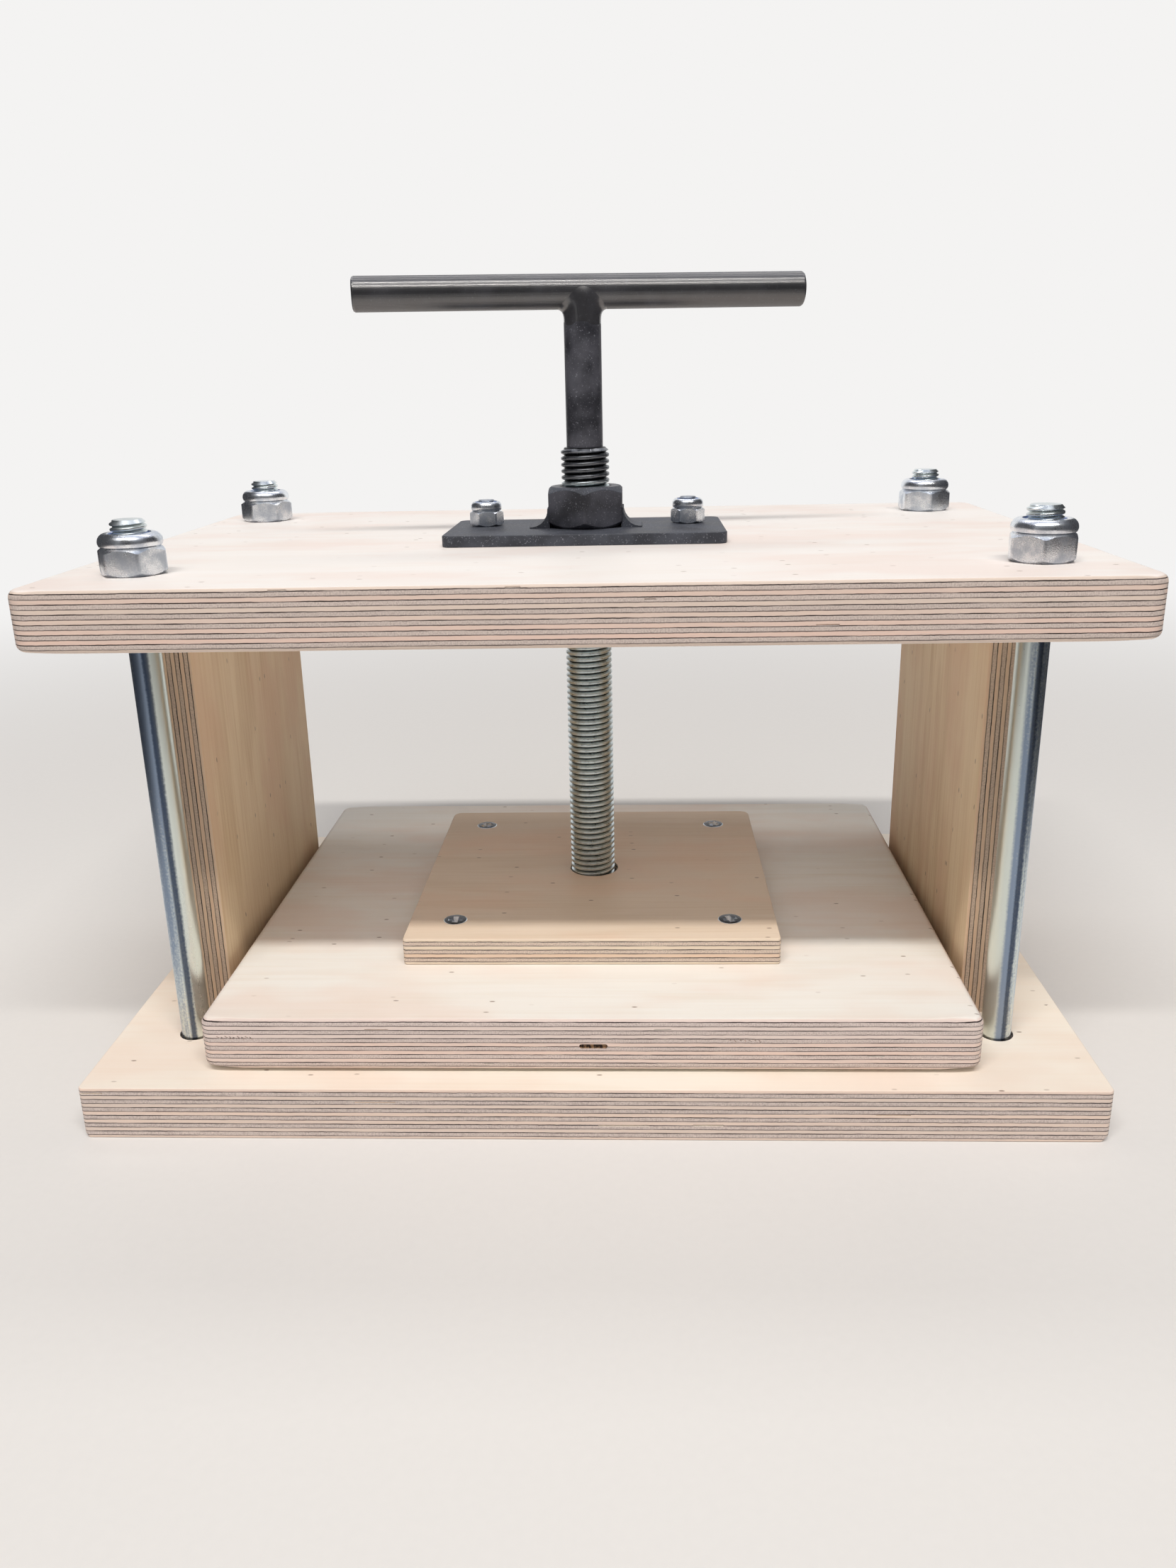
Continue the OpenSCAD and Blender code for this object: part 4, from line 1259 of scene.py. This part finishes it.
for i, (corner, place) in enumerate(RETAINER_SCREW_PLACES.items()):
    wood_screw = clone(wood_screw_model, "zinc_retainer_screw_" + corner,
                       (place.x, place.y, RETAINER_HIGH.z), math.radians(20 * i))
    hand_over(wood_screw, painted_reflection_zinc_head, "pressing_head", "zinc_plated_steel",
              "retainer_screw_" + corner)
    # Recess and rim keep bright zinc; the rest of the head carries the painted dark reflection.
    paint_faces(wood_screw, zinc_nut, in_recess_or_rim(place))
discard(wood_screw_model)

# %% [markdown]
# ## Pieces that stay as the frame made them
#
# The washers under the base, the thrust disc on the screw's foot, its screw and the plate that it
# bears on are plain turned parts, hidden inside the press. The frame's own shapes are right for
# them, so they only get their materials.

# %% Frame pieces that stay
kept_nodes = {"thrust_disc": screw_steel, "disc_screw": zinc_plain, "thrust_plate": zinc_plain}
kept_nodes.update({"tie_washer_" + corner: zinc_plain for corner in CORNERS})
for node, material in kept_nodes.items():
    for slot in frame["nodes"][node].material_slots:
        slot.material = material
print("frame pieces that stay:", len(kept_nodes))

# %% [markdown]
# ## Floor, light and camera
#
# The press stands on a plain pale floor that fades to white, so that no horizon cuts the picture.
# Two long strip lamps hang overhead, one before and one behind the press, about two metres away,
# so that the light is even from the base to the handle. The world adds a soft light, strongest
# from the front and above, as from a window, which fills the shadows. What the camera and the
# bright metal see of the surroundings is white, and greyer overhead, but three dark cards, two at
# the sides and one behind the camera, give the metal its dark streaks, as a photographer's cards
# do.

# %% What sees the white surroundings
def looks_around(tree):
    """1 for rays from the camera and from shiny or clear surfaces, 0 for rays that carry light."""
    rays = add_node(tree, "LightPath")
    seen = add_node(tree, "Math", (rays["Is Camera Ray"], rays["Is Glossy Ray"]),
                    operation="MAXIMUM")[0]
    return add_node(tree, "Math", (seen, rays["Is Transmission Ray"]), operation="MAXIMUM")[0]


# %% Floor
floor = start("floor", bpy.ops.mesh.primitive_circle_add, vertices=96, radius=6.0,
              fill_type="NGON", location=(0, 0, -0.05 * MM))
floor_paper, tree = new_material("pale studio paper")
place = add_node(tree, "TexCoord")["Object"]
distance = add_node(tree, "VectorMath", (place,), operation="LENGTH")["Value"]
tone = add_node(tree, "TexNoise", {"Vector": place, "Scale": 400.0, "Detail": 3.0})[0]
paper = add_node(tree, "Mix", {0: tone, 6: linear("#e9e8e6"), 7: linear("#ecebe9")}, **COLOURS)[2]
matt = add_node(tree, "BsdfDiffuse", {"Color": paper})[0]
white = add_node(tree, "Emission", {"Color": linear("#f4f3f2"), "Strength": 1.0})[0]
fade = add_node(tree, "MapRange", (distance, 0.3, 1.1), **EASED)[0]
fade = add_node(tree, "Math", (fade, looks_around(tree)), operation="MULTIPLY")[0]
surface = add_node(tree, "MixShader", (fade, matt, white))[0]
add_node(tree, "OutputMaterial", (surface,))
floor.data.materials.append(floor_paper)

# %% World
world = bpy.data.worlds.new("studio")
bpy.context.scene.world = world
world.use_nodes = True
tree = world.node_tree
tree.nodes.clear()
toward = add_node(tree, "TexCoord")["Generated"]
# The soft light comes mostly from one side, as from a window in front of the press, 50 degrees up.
window = add_node(tree, "VectorMath", (toward, (0.0, -0.64, 0.77)),
                  operation="DOT_PRODUCT")["Value"]
window = add_node(tree, "MapRange", (window, 0.7, 1.0, 0.08, 1.0))[0]
fill = add_node(tree, "Background", {"Color": linear("#fbfaff"), "Strength": window})[0]
# High overhead the studio is greyer, as a ceiling is, which gives metal something to mirror.
overhead = add_node(tree, "SeparateXYZ", (toward,))[2]
ceiling = add_node(tree, "MapRange", (overhead, 0.42, 0.8), **EASED)[0]
surround = add_node(tree, "Mix", {0: ceiling, 6: linear("#f4f3f2"), 7: linear("#b6bacb")},
                    **COLOURS)[2]
backdrop = add_node(tree, "Background", {"Color": surround, "Strength": 1.0})[0]
sky = add_node(tree, "MixShader", (looks_around(tree), fill, backdrop))[0]
add_node(tree, "OutputWorld", (sky,))

# %% Lamps
PRESS_MIDDLE = Vector((0, 0, 0.1))
LAMP_LENGTH = 1.8


def strip_lamp(name, place, width, power):
    """A long strip lamp that looks at the press."""
    bpy.ops.object.light_add(type="AREA", location=place)
    lamp = bpy.context.object
    lamp.name = name
    lamp.rotation_euler = (PRESS_MIDDLE - Vector(place)).to_track_quat("-Z", "Y").to_euler()
    lamp.data.shape = "RECTANGLE"
    lamp.data.size, lamp.data.size_y = LAMP_LENGTH, width
    lamp.data.energy = power
    lamp.data.color = linear("#fffaf4")[:3]


strip_lamp("front lamp", (0.0, -0.98, 1.9), width=0.1, power=29)
strip_lamp("back lamp", (0.0, 0.8, 1.9), width=0.4, power=8)

# %% Grey cards
card_grey, tree = new_material("dark grey card")
place = add_node(tree, "TexCoord")["Object"]
felt = add_node(tree, "TexNoise", {"Vector": place, "Scale": 60.0, "Detail": 2.0})[0]
colour = add_node(tree, "Mix", {0: felt, 6: linear("#55575d"), 7: linear("#5f6167")}, **COLOURS)[2]
add_node(tree, "OutputMaterial", (add_node(tree, "BsdfDiffuse", {"Color": colour})[0],))
cards = []
for name, place, turn, width, height in (("left", (-0.36, -0.05, 0.22), math.pi / 2, 0.5, 0.4),
                                         ("right", (0.36, -0.05, 0.22), math.pi / 2, 0.5, 0.4),
                                         ("camera", (0.15, -0.62, 0.5), 0.0, 0.54, 0.5)):
    card = start("grey_card_" + name, bpy.ops.mesh.primitive_plane_add, size=1, location=place,
                 scale=(width, height, 1), rotation=(math.pi / 2, 0, turn))
    card.data.materials.append(card_grey)
    # Only mirror-like surfaces see the cards. They neither shade the press nor show in any view.
    card.visible_camera = card.visible_diffuse = card.visible_shadow = False
    cards.append(card)
print("stage set")

# %% Camera
# The photo was taken from 41 cm before the press's middle and 21 cm up, a little to its right,
# looking 18 degrees down. The focal length was measured in pixels of the photo.
CAMERA_PLACE = (0.015357, -0.406675, 0.209517)
TILT, YAW, ROLL = (math.radians(a) for a in (-18.2331, 2.4954, 1.2012))
FOCAL_PIXELS, PHOTO_HEIGHT_PIXELS = 1703.109, 2212
SENSOR_MM = 36
bpy.ops.object.camera_add()
camera = bpy.context.object
camera.matrix_world = (Matrix.Translation(CAMERA_PLACE)
                       @ Matrix.Rotation(YAW, 4, "Z") @ Matrix.Rotation(TILT, 4, "X")
                       @ Matrix.Rotation(ROLL, 4, "Y") @ Matrix.Rotation(math.pi / 2, 4, "X"))
camera.data.sensor_width = SENSOR_MM
camera.data.lens = FOCAL_PIXELS * SENSOR_MM / PHOTO_HEIGHT_PIXELS
camera.data.clip_start = 0.01
bpy.context.scene.camera = camera
bpy.context.scene.view_settings.view_transform = "Standard"

# %% [markdown]
# ## Closed meshes
#
# The last cell counts each new piece's triangles and open edges and prints its volume, which is
# positive where its faces point outwards.

# %% Closed meshes
total = 0
for piece in bpy.context.scene.objects:
    if piece.type != "MESH" or piece.name in frame["nodes"] or piece in (floor, *cards):
        continue
    shape = bmesh.new()
    shape.from_mesh(piece.data)
    open_edges = sum(len(edge.link_faces) != 2 for edge in shape.edges)
    volume = shape.calc_volume(signed=True) * 1e6
    triangles = sum(len(face.verts) - 2 for face in shape.faces)
    total += triangles
    print(f"{piece.name}: {triangles} triangles, {open_edges} open edges, {volume:.2f} ml")
    shape.free()
print("new pieces have", total, "triangles")
